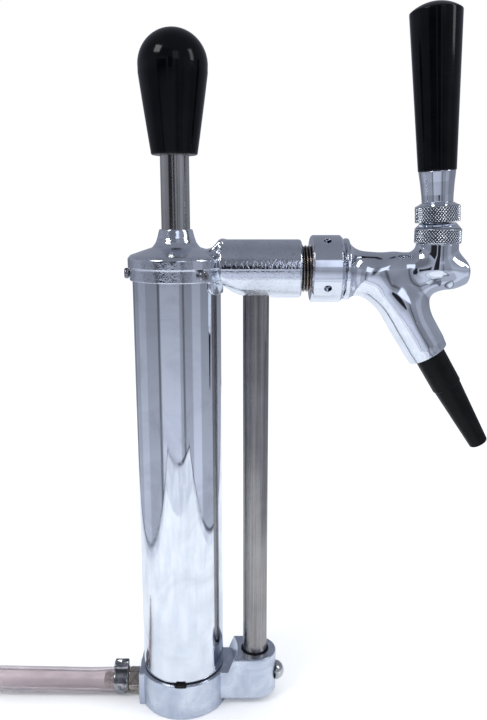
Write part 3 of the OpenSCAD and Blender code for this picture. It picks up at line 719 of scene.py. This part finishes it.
def build_barrel():
    low, high, r = BARREL_LOW[2], BARREL_HIGH[2], BARREL_R
    inner = r - BARREL_WALL
    corners = [(inner, low, 0), (r, low, 0.5), (r, high, 0.3), (inner, high, 0.3), (inner, low, 0)]
    lathe("barrel_tube", corners, (0, 0, 0), Z_AXIS, BARREL_CHROME, "tower", ["pump_barrel"], 256, ring=True)


def head_field():
    """Cap and arm in one casting, split by a parting step, then bored."""
    z = ARM_Z
    cap = revolved([
        (0, z - 6.3, 0), (26.6, z - 6.3, 0.5), (26.6, z + 0.7, 0.15), (27.35, z + 1.1, 0.3),
        (27.4, z + 6.2, 1.8), (25.7, z + 7.9, 1.0), (17.8, z + 10.6, 5), (13.5, z + 12.0, 2.6),
        (11.5, z + 14.6, 3.5), (10.5, z + 17.3, 5), (9.3, NECK_TOP, 0.6), (0, NECK_TOP, 0)],
        np.zeros(3), Z_AXIS)
    arm = level(24.3, ARM_END, z, 16.4, 1.6)
    under = half_space((31.5, 0, z - 13.0), (-0.62, 0, -0.785))
    arm = meet(arm, under, 5.0)
    web = slab((4, -9.5, z - 5), (27, 9.5, z + 30), 2.5)
    web = meet(web, half_space((18.6, 0, z + 10.1), (-0.72, 0, 0.694)), 1.5)
    web = meet(web, half_space((20, 0, z + 16.2), Z_AXIS), 1.0)
    casting = join(join(cap, web, 3.0), arm, 2.0)
    tongue = upright(0, z - 13.8, z - 2, 26.5, 0.6)
    tab = slab((0, -17.6, z - 13.6), (30, 17.6, z), 4.5)
    casting = join(casting, meet(tongue, tab, 0.5), 0.6)
    flat = slab((RISER_X - 12, -30, z - 40), (RISER_X + 8.3, 30, z - 15.2), 0.6)
    barrel = upright(0, z - 60, BARREL_HIGH[2] + 0.05, BARREL_R + 0.06)
    smooth = bored(casting, (flat, 0.5), (barrel, 0.3))
    stepped = lambda p: smooth(p) + 0.14 * np.clip((z + 1.0 - p[:, 2]) / 0.5, 0, 1)
    holes = [
        (cone((0, 0, z + 3), (0, 0, z + 5.7), 21, 17), 0.2), (upright(0, z, z + 15.75, 9.65), 0.1),
        (upright(0, z, z + 40, 8.08), 0.5), (cylinder((0, 19, z), (0, 19, z + 30), 1.2), 0.2),
        (upright(RISER_X, z - 60, z - 9.25, RISER_R + 0.06), 0.3),
        (upright(RISER_X, z - 13, z - 10.7, RISER_R + 2.05), 0.1), (upright(RISER_X, z - 12, z, 4.5), 0),
        (level(RISER_X, ARM_END + 5, z, 4.4), 0), (level(RISER_X + 11, ARM_END + 5, z, 13.26), 0.5)]
    for out in CAP_SCREW_WAYS:
        foot = out * 20 + CAP_SCREW_LEVEL
        holes.append((cylinder(foot, foot + out * 12, 1.56), 0.1))
    return bored(stepped, *holes)


CAP_SCREW_WAYS = [np.array([math.cos(a), math.sin(a), 0]) for a in np.radians((-175, -54, 65))]
CAP_SCREW_LEVEL = np.array([0, 0, ARM_Z - 2.3])


def build_head():
    cast("head_casting_body", head_field(), HEAD_LOW, HEAD_HIGH, 0.5, PEBBLED, "tower", ["head_casting"])


def build_cap_screws():
    """Small domed screws with a hexagon socket."""
    for n, out in enumerate(CAP_SCREW_WAYS):
        seat = out * 26.62 + CAP_SCREW_LEVEL
        head = cylinder(seat, seat + out * 2.8, 3.0, 1.1)
        stem = cylinder(out * 23.7 + CAP_SCREW_LEVEL, seat + out, 1.5)
        socket = cylinder(seat + out * 1.7, seat + out * 5, 1.25)
        field = carve(join(head, stem), socket, 0.15)
        middle = out * 26.5 + CAP_SCREW_LEVEL
        cast(f"cap_screw_{n + 1}", field, middle - 4.2, middle + 4.2, 0.2, CLAMP_STEEL, "tower",
             ["cap_screws"])


def build_rod():
    """Ground rod with the stud that carries the piston."""
    foot, top = ROD_LOW[2], ROD_HIGH[2]
    shoulder = span("top_bumper")[0][2] - 0.05
    stud_r, rod_r = 3.95, 8
    corners = [(0, foot, 0), (stud_r, foot, 0.5), (stud_r, shoulder, 0), (rod_r, shoulder, 0.4),
               (rod_r, top, 0.6), (0, top, 0)]
    lathe("rod", corners, (0, 0, 0), Z_AXIS, ROD_STEEL, "plunger", ["plunger_rod"], 128)


def build_knob():
    """Teardrop knob: near-straight sides that swell into a dome."""
    low, high = KNOB_LOW[2], KNOB_HIGH[2]
    top_r = (KNOB_HIGH[0] - KNOB_LOW[0]) / 2
    centre = high - top_r
    foot_r = 12.7
    sides = [(0, low, 0), (9.2, low, 0.3), (foot_r, low, 1.1)]
    for t in np.linspace(0.08, 0.999, 14):
        swell = 0.93 * t + 0.07 * math.sin(t * math.pi / 2)
        sides.append((foot_r + (top_r - 0.06 - foot_r) * swell, low + (centre - 4 - low) * t, 0))
    lathe("knob", sides + arc(0, centre, top_r, -5, 90, 40), (0, 0, 0), Z_AXIS, GLOSS_BLACK, "plunger",
          ["plunger_knob"], 160, sharp=60)


# ---- riser and coupling ----

def build_riser():
    low, high, bore = TUBE_LOW[2], TUBE_HIGH[2], 6
    corners = [(bore, low, 0), (RISER_R, low, 0.3), (RISER_R, high, 0.3), (bore, high, 0.2), (bore, low, 0)]
    lathe("riser", corners, (RISER_X, 0, 0), Z_AXIS, RISER_STEEL, "tower", ["riser_tube"], 128, ring=True)


THREAD_PITCH = 1.8
THREAD_DEPTH = 0.95


def build_shank():
    """Threaded shank with a true helix, a plain neck and the flange the nut pulls on."""
    x0, x1 = span("shank")[0][0], span("shank")[1][0]
    crest, flange = 13.2, 14.1
    thread_end = NUT_LOW[0] + 2
    heights = np.arange(x0 + 0.6, thread_end, THREAD_PITCH / 14)
    corners = [(4.5, x0, 0), (crest - 1, x0, 0)] + [(crest, h, 0) for h in heights]
    corners += [(crest, thread_end + 0.3, 0), (crest, x1 - 2.8, 0), (flange, x1 - 2.8, 0), (flange, x1, 0),
                (4.5, x1, 0)]

    def thread(angles, h, r):
        if abs(r - crest) > 1e-6 or h > thread_end:
            return np.full(len(angles), r)
        turn = (h / THREAD_PITCH - angles / (2 * math.pi)) % 1
        wave = np.clip(np.abs(turn - 0.5) * 2.6 - 0.15, 0, 1)
        return crest - THREAD_DEPTH * wave
    lathe("shank_thread", corners, (0, 0, ARM_Z), X_AXIS, THREAD, "tower", ["shank"], 144, thread,
          ring=True, sharp=0)


def build_coupling_nut():
    """Round nut with a lip at the back and four spanner holes."""
    x0, x1 = NUT_LOW[0], NUT_HIGH[0]
    r = (NUT_HIGH[2] - NUT_LOW[2]) / 2
    body = revolved([(0, x0, 0), (r - 1.0, x0, 0.3), (r, x0 + 1.0, 0.3), (r, x1 - 1.6, 0.3),
                     (r - 1.6, x1, 0.3), (0, x1, 0)], np.array([0, 0, ARM_Z]), X_AXIS)
    body = bored(body, (level(x0 - 5, x0 + 5, ARM_Z, 13.45), 0.4), (level(x0 + 4, x1 + 5, ARM_Z, 14.35), 0.4))
    for degrees in (-31, 59, 149, 239):
        a = math.radians(degrees)
        out = np.array([0, -math.cos(a), math.sin(a)])
        foot = np.array([x0 + 8.7, 0, ARM_Z]) + out * (r - 6)
        body = carve(body, cylinder(foot, foot + out * 9, 2.0), 0.25)
    cast("coupling_nut_body", body, NUT_LOW, NUT_HIGH, 0.4, CHROME, "tower", ["coupling_nut"])


# ---- tap ----

SPOUT_FOOT = np.array([PIVOT[0] - 31, 0, ARM_Z])
SPOUT_AXIS = np.array([math.sin(SPOUT_LEAN), 0, -math.cos(SPOUT_LEAN)])
SPOUT_END = SPOUT_FOOT + SPOUT_AXIS * SPOUT_LENGTH
SWEEP_R = 59.2    # centre-line radius of the bend from the tap's barrel into its spout
CROTCH_R = 20.8   # and of the tighter bend from the barrel's front end back into the spout


def bent_tube(centre, bend, turn, run, distances, radii):
    """Tube that leaves the top of a circle, bends down through an angle and runs on straight.

    A negative turn bends towards -X. Radii are given at distances along the centre line.
    """
    end = centre + bend * np.array([math.sin(turn), 0, math.cos(turn)])
    ahead = math.copysign(1, turn) * np.array([math.cos(turn), 0, -math.sin(turn)])
    bend_length = bend * abs(turn)

    def field(p):
        x, z = p[:, 0] - centre[0], p[:, 2] - centre[2]
        angle = np.clip(np.arctan2(x, z) * math.copysign(1, turn), 0, abs(turn))
        signed = angle * math.copysign(1, turn)
        on_arc = centre + bend * np.stack([np.sin(signed), np.zeros(len(p)), np.cos(signed)], 1)
        along = np.clip((p - end) @ ahead, 0, run)
        on_line = end + along[:, None] * ahead
        arc_gap = np.linalg.norm(p - on_arc, axis=1) - np.interp(bend * angle, distances, radii)
        line_gap = np.linalg.norm(p - on_line, axis=1) - np.interp(bend_length + along, distances, radii)
        return np.minimum(arc_gap, line_gap)
    return field


def tap_field():
    """Barrel, swept spout and ball neck blended into one casting, then bored."""
    z = ARM_Z
    rear = TAP_LOW[0]
    collar = NUT_HIGH[0] + 1.1
    front = TAP_HIGH[0]
    flare = arc(19.2, collar + 11.9, 10.0, 256, 180, 14)
    barrel = revolved([
        (0, rear, 0), (14.25, rear, 0.5), (14.25, collar, 0.2), (17.0, collar, 0.4),
        (17.0, collar + 1.7, 0.4), *flare, (9.2, 148, 8), (7.7, front, 1.0),
        (0, front, 0)], np.array([0, 0, z]), X_AXIS)
    barrel = meet(barrel, half_space((159.3, 0, z + 7.0), (0.70, 0, 0.71)), 2.0)
    turn = math.pi / 2 - SPOUT_LEAN
    run = 23.5
    spout_shift = np.array([math.cos(SPOUT_LEAN), 0, math.sin(SPOUT_LEAN)])
    join_point = SPOUT_END - SPOUT_AXIS * run - spout_shift
    centre = join_point - SWEEP_R * np.array([math.sin(turn), 0, math.cos(turn)])
    bend = SWEEP_R * turn
    spout = bent_tube(centre, SWEEP_R, turn, run, [0, bend - 8, bend, bend + 12, bend + run],
                      [9.0, 9.8, 9.4, 8.5, 7.9])
    crotch = np.array([154.3, 0, z - 23.2])
    heel = bent_tube(crotch, CROTCH_R, turn - math.pi, 20, [0, 44, 52, 62], [7.8, 7.8, 8.0, 8.8])
    core = cylinder(SPOUT_FOOT, SPOUT_FOOT + SPOUT_AXIS * 50, 7.9)
    body = join(join(spout, heel, 12.0), core, 8.0)
    body = meet(body, half_space(SPOUT_END, SPOUT_AXIS), 0.4)
    body = meet(body, half_space((collar + 3, 0, z), (-1, 0, 0)))
    neck_x, neck_z = PIVOT[0], PIVOT[2]
    for part, fillet in (
            (barrel, 8.0), (upright(neck_x, z, neck_z - 2.5, 11.8, 0.3), 5.0),
            (upright(neck_x, z, neck_z + 2.2, 10.2, 0.4), 0),
            (cylinder(SPOUT_END - SPOUT_AXIS * 2, SPOUT_END + SPOUT_AXIS * 11, 6.8, 0.3), 0)):
        body = join(body, part, fillet)
    return bored(
        body, (level(rear - 5, collar + 2.4, z, 9.0), 0.2), (level(collar, neck_x + 11.5, z, 5.65), 0),
        (cylinder(SPOUT_FOOT, SPOUT_END + SPOUT_AXIS * 20, 5.0), 0.2),
        (upright(neck_x, neck_z - 5.9, neck_z + 20, 7.0), 0.2),
        (slab((neck_x - 7.6, -2.8, z), (neck_x + 3, 2.8, neck_z - 5)), 0))


def build_tap():
    cast("tap_body", tap_field(), TAP_LOW, TAP_HIGH, 0.45, CHROME, "tower", ["faucet_body"])


def diamond_knurl(low, high, outer, depth, count, pitch):
    """Radius function that cuts two crossing families of grooves between low and high."""
    def carve_radius(angles, h, r):
        if abs(r - outer) > 1e-6 or h < low or h > high:
            return np.full(len(angles), r)
        u = count * angles / (2 * math.pi)
        v = h / pitch
        ridge = lambda t: 1 - np.abs((t % 1) * 2 - 1)
        height = np.minimum(np.minimum(ridge(u + v), ridge(u - v)) * 1.5, 1)
        fade = min(1.0, (h - low) / 0.25, (high - h) / 0.25)
        return r - depth * (1 - height) * fade
    return carve_radius


def lever_point(height):
    """A point on the lever's axis, measured from the ball's centre."""
    return PIVOT + LEVER_AXIS * height


KNURL = dict(depth=0.5, count=44, pitch=2.0)
KNURL_SEGMENTS = 12 * KNURL["count"]


def knurled_rows(radius, low, high):
    return [(radius, h, 0) for h in np.arange(low, high + 0.01, 0.16)]


def build_bonnet():
    foot = PIVOT[2] - 2.4
    r = BONNET_R
    low, high = foot + 0.5, foot + 7.6
    corners = [(10.3, foot, 0), (r - 0.5, foot, 0), (r, low, 0)] + knurled_rows(r, low, high)
    corners += [(r, high, 0), (r, foot + 7.75, 0.3), (r - 3.35, foot + 11.45, 0.6), (8.1, foot + 11.5, 0.3),
                (5.6, foot + 7.3, 0.2), (7.6, foot + 7.2, 0), (7.6, foot + 4.9, 0),
                (10.3, foot + 4.9, 0), (10.3, foot, 0)]
    lathe("bonnet_ring", corners, (PIVOT[0], 0, 0), Z_AXIS, BONNET_CHROME, "tower", ["faucet_bonnet"],
          KNURL_SEGMENTS, diamond_knurl(low, high, r, **KNURL), ring=True, sharp=35)


def build_lever():
    """Ball, tail and stem of the lever in one piece."""
    tail_end = PIVOT - Z_AXIS * 12
    tail = cylinder(PIVOT, tail_end, 1.5)
    stem = cylinder(PIVOT, lever_point(13.7), 2.8)
    post = cylinder(lever_point(12.95), lever_point(37), 4.5)
    stud = cylinder(lever_point(36), lever_point(53), 4.0, 0.4)
    field = join(join(ball(PIVOT, 6.0), tail, 0.8), ball(tail_end, 2.3), 0.5)
    field = join(join(field, stem, 0.6), join(post, stud))
    low, high = span("tap_lever")
    cast("lever_ball_stem", field, low, high, 0.35, ROD_STEEL, "lever", ["tap_lever"])


def build_collar():
    foot, top, r, hollow = 9.3, 18.0, COLLAR_R, 10.7
    low, high = foot + 0.4, top - 0.15
    corners = [(hollow, foot, 0), (r - 0.4, foot, 0), (r, low, 0)] + knurled_rows(r, low, high)
    corners += [(r, high, 0), (r - 0.25, top + 0.15, 0.2), (10.4, top + 0.9, 1.0), (8.7, 19.95, 1.5),
                (STEM_HOLE_R, 19.95, 0), (STEM_HOLE_R, foot + 3.2, 0), (hollow, foot + 3.2, 0.4),
                (hollow, foot, 0)]
    lathe("collar_ring", corners, PIVOT, LEVER_AXIS, COLLAR_CHROME, "lever", ["lever_collar"],
          KNURL_SEGMENTS, diamond_knurl(low, high, r, **KNURL), ring=True, sharp=35)


def build_ferrule():
    corners = [(STEM_HOLE_R, 20, 0), (8.55, 20, 0.3), (8.7, 24, 6), (9.35, 31, 6), (10.15, 36.95, 0.4),
               (STEM_HOLE_R, 36.95, 0), (STEM_HOLE_R, 20, 0)]
    lathe("ferrule", corners, PIVOT, LEVER_AXIS, CHROME, "lever", ["handle_ferrule"], 160, ring=True)


def build_handle():
    foot, length, foot_r, top_r, crown = 37, 86.4, 10.45, 14.0, 4.9
    top = foot + length
    crown_r = (top_r ** 2 + crown ** 2) / (2 * crown)
    edge = math.degrees(math.asin(top_r / crown_r))
    corners = [(0, foot, 0), (foot_r - 0.2, foot, 0.2), (foot_r, foot + 0.5, 0.4), (top_r, top - crown, 0.9)]
    corners += arc(0, top - crown_r, crown_r, 90 - edge + 4, 90, 20)
    lathe("handle", corners, PIVOT, LEVER_AXIS, GLOSS_BLACK, "lever", ["tap_handle"], 160)


def build_nozzle():
    """Push-on nozzle: sleeve, small step and long hollow taper."""
    step, length, r, tip, socket, bore = 22.7, 63.8, 8.8, 5.5, 6.85, 3.7
    corners = [(socket, 0.05, 0), (r, 0.05, 0.35), (r - 0.25, step, 0.4), (r - 0.75, step + 0.25, 0.2),
               (tip, length, 0.7), (bore, length, 0.4), (bore, 12, 0), (socket, 12, 0), (socket, 0.05, 0)]
    lathe("nozzle", corners, SPOUT_END, SPOUT_AXIS, SATIN_BLACK, "tower", ["spout_nozzle"], 144, ring=True)


# ---- air hose ----

def hose_centre(x):
    """Height of the hose axis: level on the barb, a slight dip, then a slow rise."""
    reach = np.clip((-x - 56) / (-HOSE_LOW[0] - 56), 0, 1)
    return HOSE_Z - 0.35 * np.sin(np.clip((-x - 40) / 40, 0, 1) * math.pi) + 1.1 * reach ** 2


def build_hose():
    """Clear tube, stretched over the barb and cut square at its free end."""
    x0, x1 = HOSE_HIGH[0], HOSE_LOW[0]
    xs = np.concatenate([[x0], np.linspace(x0 - 0.3, x1 + 0.4, 70), [x1]])
    rows = [(x, HOSE_R - (0.25 if x in (x0, x1) else 0)) for x in xs]
    rows += [(x, 5.0 + 0.48 * np.interp(-x, [50, 57], [1, 0])) for x in xs[::-1]]
    segments = 72
    angles = np.linspace(0, 2 * math.pi, segments, endpoint=False)
    vertices = [(x, r * math.cos(a), hose_centre(x) + r * math.sin(a)) for x, r in rows for a in angles]
    grid = np.arange(len(vertices)).reshape(len(rows), segments)
    faces = skin([list(row[::-1]) for row in grid])
    make_object("hose_tube", vertices, faces, HOSE, "tower", ["air_hose"], sharp=50)


def build_barb():
    """Hexagon, three barbs and the threaded root."""
    hex_x = -PAD_X - 0.05
    barb_x = hex_x - 7.5
    barb_l, flat = 15.9, 7
    hexagon = level(barb_x, hex_x, HOSE_Z, 7.9, 0.7)
    for a in np.radians(18 + 60 * np.arange(6)):
        out = np.array([0, math.cos(a), math.sin(a)])
        hexagon = meet(hexagon, half_space(out * flat + Z_AXIS * HOSE_Z, out), 0.15)
    barb = level(barb_x - barb_l, barb_x + 1, HOSE_Z, 4.3, 0.2)
    for n in range(3):
        x = barb_x - barb_l + n * 4.6
        barb = join(barb, cone((x, 0, HOSE_Z), (x + 3.4, 0, HOSE_Z), 4.2, 5.4, 0.1), 0.15)
    field = join(join(hexagon, barb, 0.3), level(hex_x - 1, -PAD_X + 9.2, HOSE_Z, 4.5))
    field = carve(field, level(barb_x - 20, -PAD_X + 12, HOSE_Z, 2.5), 0.2)
    low, high = span("hose_barb")
    cast("barb_fitting", field, low - 0.2, high + 0.2, 0.3, NICKEL, "tower", ["hose_barb"])


def clamp_path():
    """Middle line of the clamp's strip: round the hose, then up over a squeezed ear."""
    r = HOSE_R + 0.42
    ear_half, ear_top = 3.9, 13.0
    gap = math.asin((ear_half - 1.3) / r)
    points = [(r * math.sin(a), r * math.cos(a)) for a in np.linspace(gap, 2 * math.pi - gap, 96)]
    y0, z0 = points[-1]
    left = [(y0 - 0.25, z0 + 0.8), (-ear_half + 0.5, z0 + 2.0), (-ear_half, ear_top - 1.7),
            (-ear_half + 0.5, ear_top - 0.5), (-ear_half + 1.6, ear_top)]
    right = [(-y, z) for y, z in left[::-1]]
    middle = [(y, ear_top) for y in np.linspace(-ear_half + 2.1, ear_half - 2.1, 9)]
    return np.array(points + left + middle + right)


def smooth_closed(points, passes=2):
    for _ in range(passes):
        following = np.roll(points, -1, 0)
        pairs = [0.75 * points + 0.25 * following, 0.25 * points + 0.75 * following]
        points = np.stack(pairs, 1).reshape(-1, 2)
    return points


def build_clamp():
    """One-ear clamp: a thin strip, narrower under the hose, with a crimped V across the ear."""
    path = smooth_closed(clamp_path())
    ahead = np.roll(path, -1, 0) - np.roll(path, 1, 0)
    tangents = ahead / np.linalg.norm(ahead, axis=1, keepdims=True)
    outward = np.stack([-tangents[:, 1], tangents[:, 0]], 1)
    centre_x = (span("hose_clamp")[0][0] + span("hose_clamp")[1][0]) / 2
    across = np.linspace(-1, 1, 17)
    thick = 0.33
    vertices, rows = [], []
    for (y, z), n in zip(path, outward):
        angle = math.atan2(abs(y), z)
        half = np.interp(angle, [0.5, 1.2, 2.0, math.pi], [4.3, 4.3, 2.7, 2.5])
        on_ear = z > HOSE_R + 2.2
        row = []
        for side in (1, -1):
            for t in across[::side]:
                dent = 0.0
                if on_ear:
                    valley = abs(y) - 1.8 * abs(t)
                    dent = 1.5 * max(0.0, 1 - abs(valley) / 1.6) * (1 - 0.25 * abs(t))
                edge = thick * (0.55 if abs(t) == 1 else 1)
                dy, dz = n * side * edge
                row.append((centre_x + t * half, y + dy, HOSE_Z + z + dz - dent))
        rows.append(list(range(len(vertices), len(vertices) + len(row))))
        vertices += row
    make_object("clamp_strip", vertices, skin(rows), CLAMP_STEEL, "tower", ["hose_clamp"], sharp=45)


# ---- stage ----

def build_stage():
    """Pale table. Painted for reflections only: a white sheet on a grey bench, as in a small studio, with a thin
    strip of painted shade round the grey.
    """
    s = Shader("table")
    place = s.add("SeparateXYZ", {0: s.coordinates}).outputs
    path = s.add("LightPath").outputs

    def rectangle(x0, x1, y0, y1, blur_x, blur_y):
        mask = 1.0
        for value, low, high, blur in ((place[0], x0, x1, blur_x), (place[1], y0, y1, blur_y)):
            rise = s.remap(value, low - blur, low + blur)
            mask = s.times(mask, s.times(rise, s.remap(value, high - blur, high + blur, 1, 0)))
        return mask
    sheet = s.shade(s.noise(16, 4, 0.55, distortion=0.5), 0.35, 0.62, (0.76, 0.81, 0.87), (0.90, 0.93, 0.97))
    border = s.shade(s.noise(14, 2, 0.5), 0.4, 0.6, (0.58, 0.62, 0.70), (0.72, 0.76, 0.83))
    on_sheet = rectangle(-0.21, 0.24, -0.32, 0.75, 0.003, 0.003)
    on_border = rectangle(-0.235, 0.265, -0.46, 0.8, 0.006, 0.004)
    on_table = rectangle(-0.245, 0.275, -0.475, 0.82, 0.003, 0.002)
    # Painted shade: a thin dark strip round the grey border, seen only in reflections
    seen = s.mix(on_border, colour(0.06, 0.065, 0.085), border)
    seen = s.mix(on_sheet, seen, sheet)
    tone = s.mix(path["Is Glossy Ray"], colour(0.93, 0.94, 0.96), seen)
    diffuse = s.add("BsdfDiffuse", {"Color": tone}).outputs[0]
    glow = s.add("Emission", {"Color": colour(0.97, 0.98, 1.0), "Strength": s.times(
        path["Is Camera Ray"], 0.10)}).outputs[0]
    total = s.add("AddShader", {0: diffuse, 1: glow}).outputs[0]
    beyond = s.times(path["Is Glossy Ray"], s.math("SUBTRACT", 1.0, on_table))
    open_air = s.add("BsdfTransparent").outputs[0]
    surface = s.add("MixShader", {0: beyond, 1: total, 2: open_air})
    s.put(s.output.inputs["Surface"], surface.outputs[0])
    mesh = bpy.data.meshes.new("table")
    mesh.from_pydata([(-6, -2, 0), (6, -2, 0), (6, 12, 0), (-6, 12, 0)], [], [(0, 1, 2, 3)])
    mesh.materials.append(s.material)
    floor = bpy.data.objects.new("table", mesh)
    bpy.context.scene.collection.objects.link(floor)


def area_light(name, location, target, size, power, tint=(1, 1, 1)):
    light = bpy.data.lights.new(name, "AREA")
    light.shape = "RECTANGLE"
    light.size, light.size_y = size
    light.energy = power
    light.color = tint
    lamp = bpy.data.objects.new(name, light)
    lamp.location = location
    lamp.rotation_euler = (Vector(target) - Vector(location)).to_track_quat("-Z", "Y").to_euler()
    bpy.context.scene.collection.objects.link(lamp)


class Room(NodeTree):
    """Builds the world: white for the camera, even light for matt surfaces, a room for chrome."""

    def __init__(self):
        self.world = bpy.data.worlds.new("studio")
        bpy.context.scene.world = self.world
        self.start(self.world)
        x, y, z = self.add("SeparateXYZ", {0: self.add("TexCoord").outputs["Generated"]}).outputs
        self.yaw = self.degrees(self.math("ARCTAN2", x, self.times(y, -1.0)))
        self.height = self.degrees(self.math("ARCSINE", z))
        self.tone = None

    def degrees(self, radians):
        return self.times(radians, 180 / math.pi)

    def step(self, value, low, high):
        return self.remap(value, low, high, interpolation_type="SMOOTHSTEP")

    def window(self, value, low, high, blur):
        rise = self.step(value, low - blur, low + blur)
        return self.math("SUBTRACT", rise, self.step(value, high - blur, high + blur))

    def gradient(self, value, stops):
        """Tone by an angle in degrees."""
        low, high = stops[0][0], stops[-1][0]
        place = self.math("DIVIDE", self.math("SUBTRACT", value, low), high - low)
        node = self.add("ValToRGB", {0: place})
        elements = node.color_ramp.elements
        elements[0].color, elements[1].color = colour(*stops[0][1]), colour(*stops[-1][1])
        for angle, tone in stops[1:-1]:
            elements.new((angle - low) / (high - low)).color = colour(*tone)
        return node.outputs[0]

    def patch(self, across, up, tone, blur=1.0, strength=1.0):
        """Paints a soft rectangle of the room: a range of yaw by a range of height, in degrees."""
        mask = self.times(self.window(self.yaw, *across, blur), self.window(self.height, *up, blur))
        self.tone = self.mix(self.times(mask, strength), self.tone, colour(*tone))

    def finish(self, ambient):
        path = self.add("LightPath").outputs
        lit = self.mix(path["Is Diffuse Ray"], self.tone, colour(*ambient))
        seen = self.mix(path["Is Camera Ray"], lit, colour(1, 1, 1))
        background = self.add("Background", {0: seen})
        self.add("OutputWorld", {0: background.outputs[0]})
        self.world.cycles.sampling_method = "NONE"


def grey(level):
    """A cool grey, bluer in the middle tones."""
    return (level * 0.93, level, level * 1.20)


def build_world():
    """A plain grey studio for the chrome: lamps and stands round the bench, and the photographer."""
    room = Room()
    walls = room.gradient(room.height, [
        (-90, grey(0.60)), (-20, grey(0.55)), (-5, grey(0.28)), (10, grey(0.40)), (90, grey(0.30))])
    # What stands round the bench: the middle of it and half its width in degrees, and its brightness
    around = {"back lamp": (-100, 15, 1.1), "back stand": (-145, 4, 0.4), "left stand": (-45, 3, 0.35),
              "front lamp": (-15, 25, 1.3), "right stand": (20, 2.5, 0.35), "right lamp": (55, 12, 1.25)}
    light = colour(0.85, 0.85, 0.85)
    for middle, half, bright in around.values():
        beside = room.window(room.yaw, middle - half, middle + half, 2.0)
        light = room.mix(beside, light, colour(bright, bright, bright))
    light = room.mix(room.step(room.height, 2, 22), light, colour(0.75, 0.75, 0.75))
    room.tone = room.mix(1.0, walls, light, "MULTIPLY")
    # A dark ceiling edge over the bench, a soft box beside the camera, a shelf and the photographer
    room.patch((-40, 5), (17, 42), grey(0.15), 4.0, 0.8)
    room.patch((6, 25), (10, 33), grey(1.1), 2.0)
    room.patch((-45, -15), (-5, 10), grey(0.02))
    room.patch((-10, 5), (-5, 16), grey(0.02))
    room.finish((0.98, 0.99, 1.02))


def build_lights():
    area_light("key", (-0.62, -0.5, 1.0), (0.03, 0, 0.2), (0.34, 0.34), 3.0, (0.98, 0.99, 1.0))
    area_light("fill", (0.85, -0.3, 0.75), (0.05, 0, 0.2), (0.2, 0.5), 1.6, (0.95, 0.97, 1.0))


def build_camera():
    """The photograph's viewpoint: close, above the head and tilted a little down."""
    data = bpy.data.cameras.new("camera")
    data.lens, data.sensor_width = 35.64, 36
    data.clip_start = 0.01
    camera = bpy.data.objects.new("camera", data)
    camera.location = (0.03793, -0.40624, 0.30445)
    camera.rotation_euler = (math.radians(78.03), 0, 0)
    bpy.context.scene.collection.objects.link(camera)
    bpy.context.scene.camera = camera


build_base()
build_lock_screw()
build_barrel()
build_head()
build_cap_screws()
build_rod()
build_knob()
build_riser()
build_shank()
build_coupling_nut()
build_tap()
build_bonnet()
build_lever()
build_collar()
build_ferrule()
build_handle()
build_nozzle()
build_hose()
build_barb()
build_clamp()
build_stage()
build_world()
build_lights()
build_camera()
bpy.context.scene.view_settings.view_transform = "Standard"
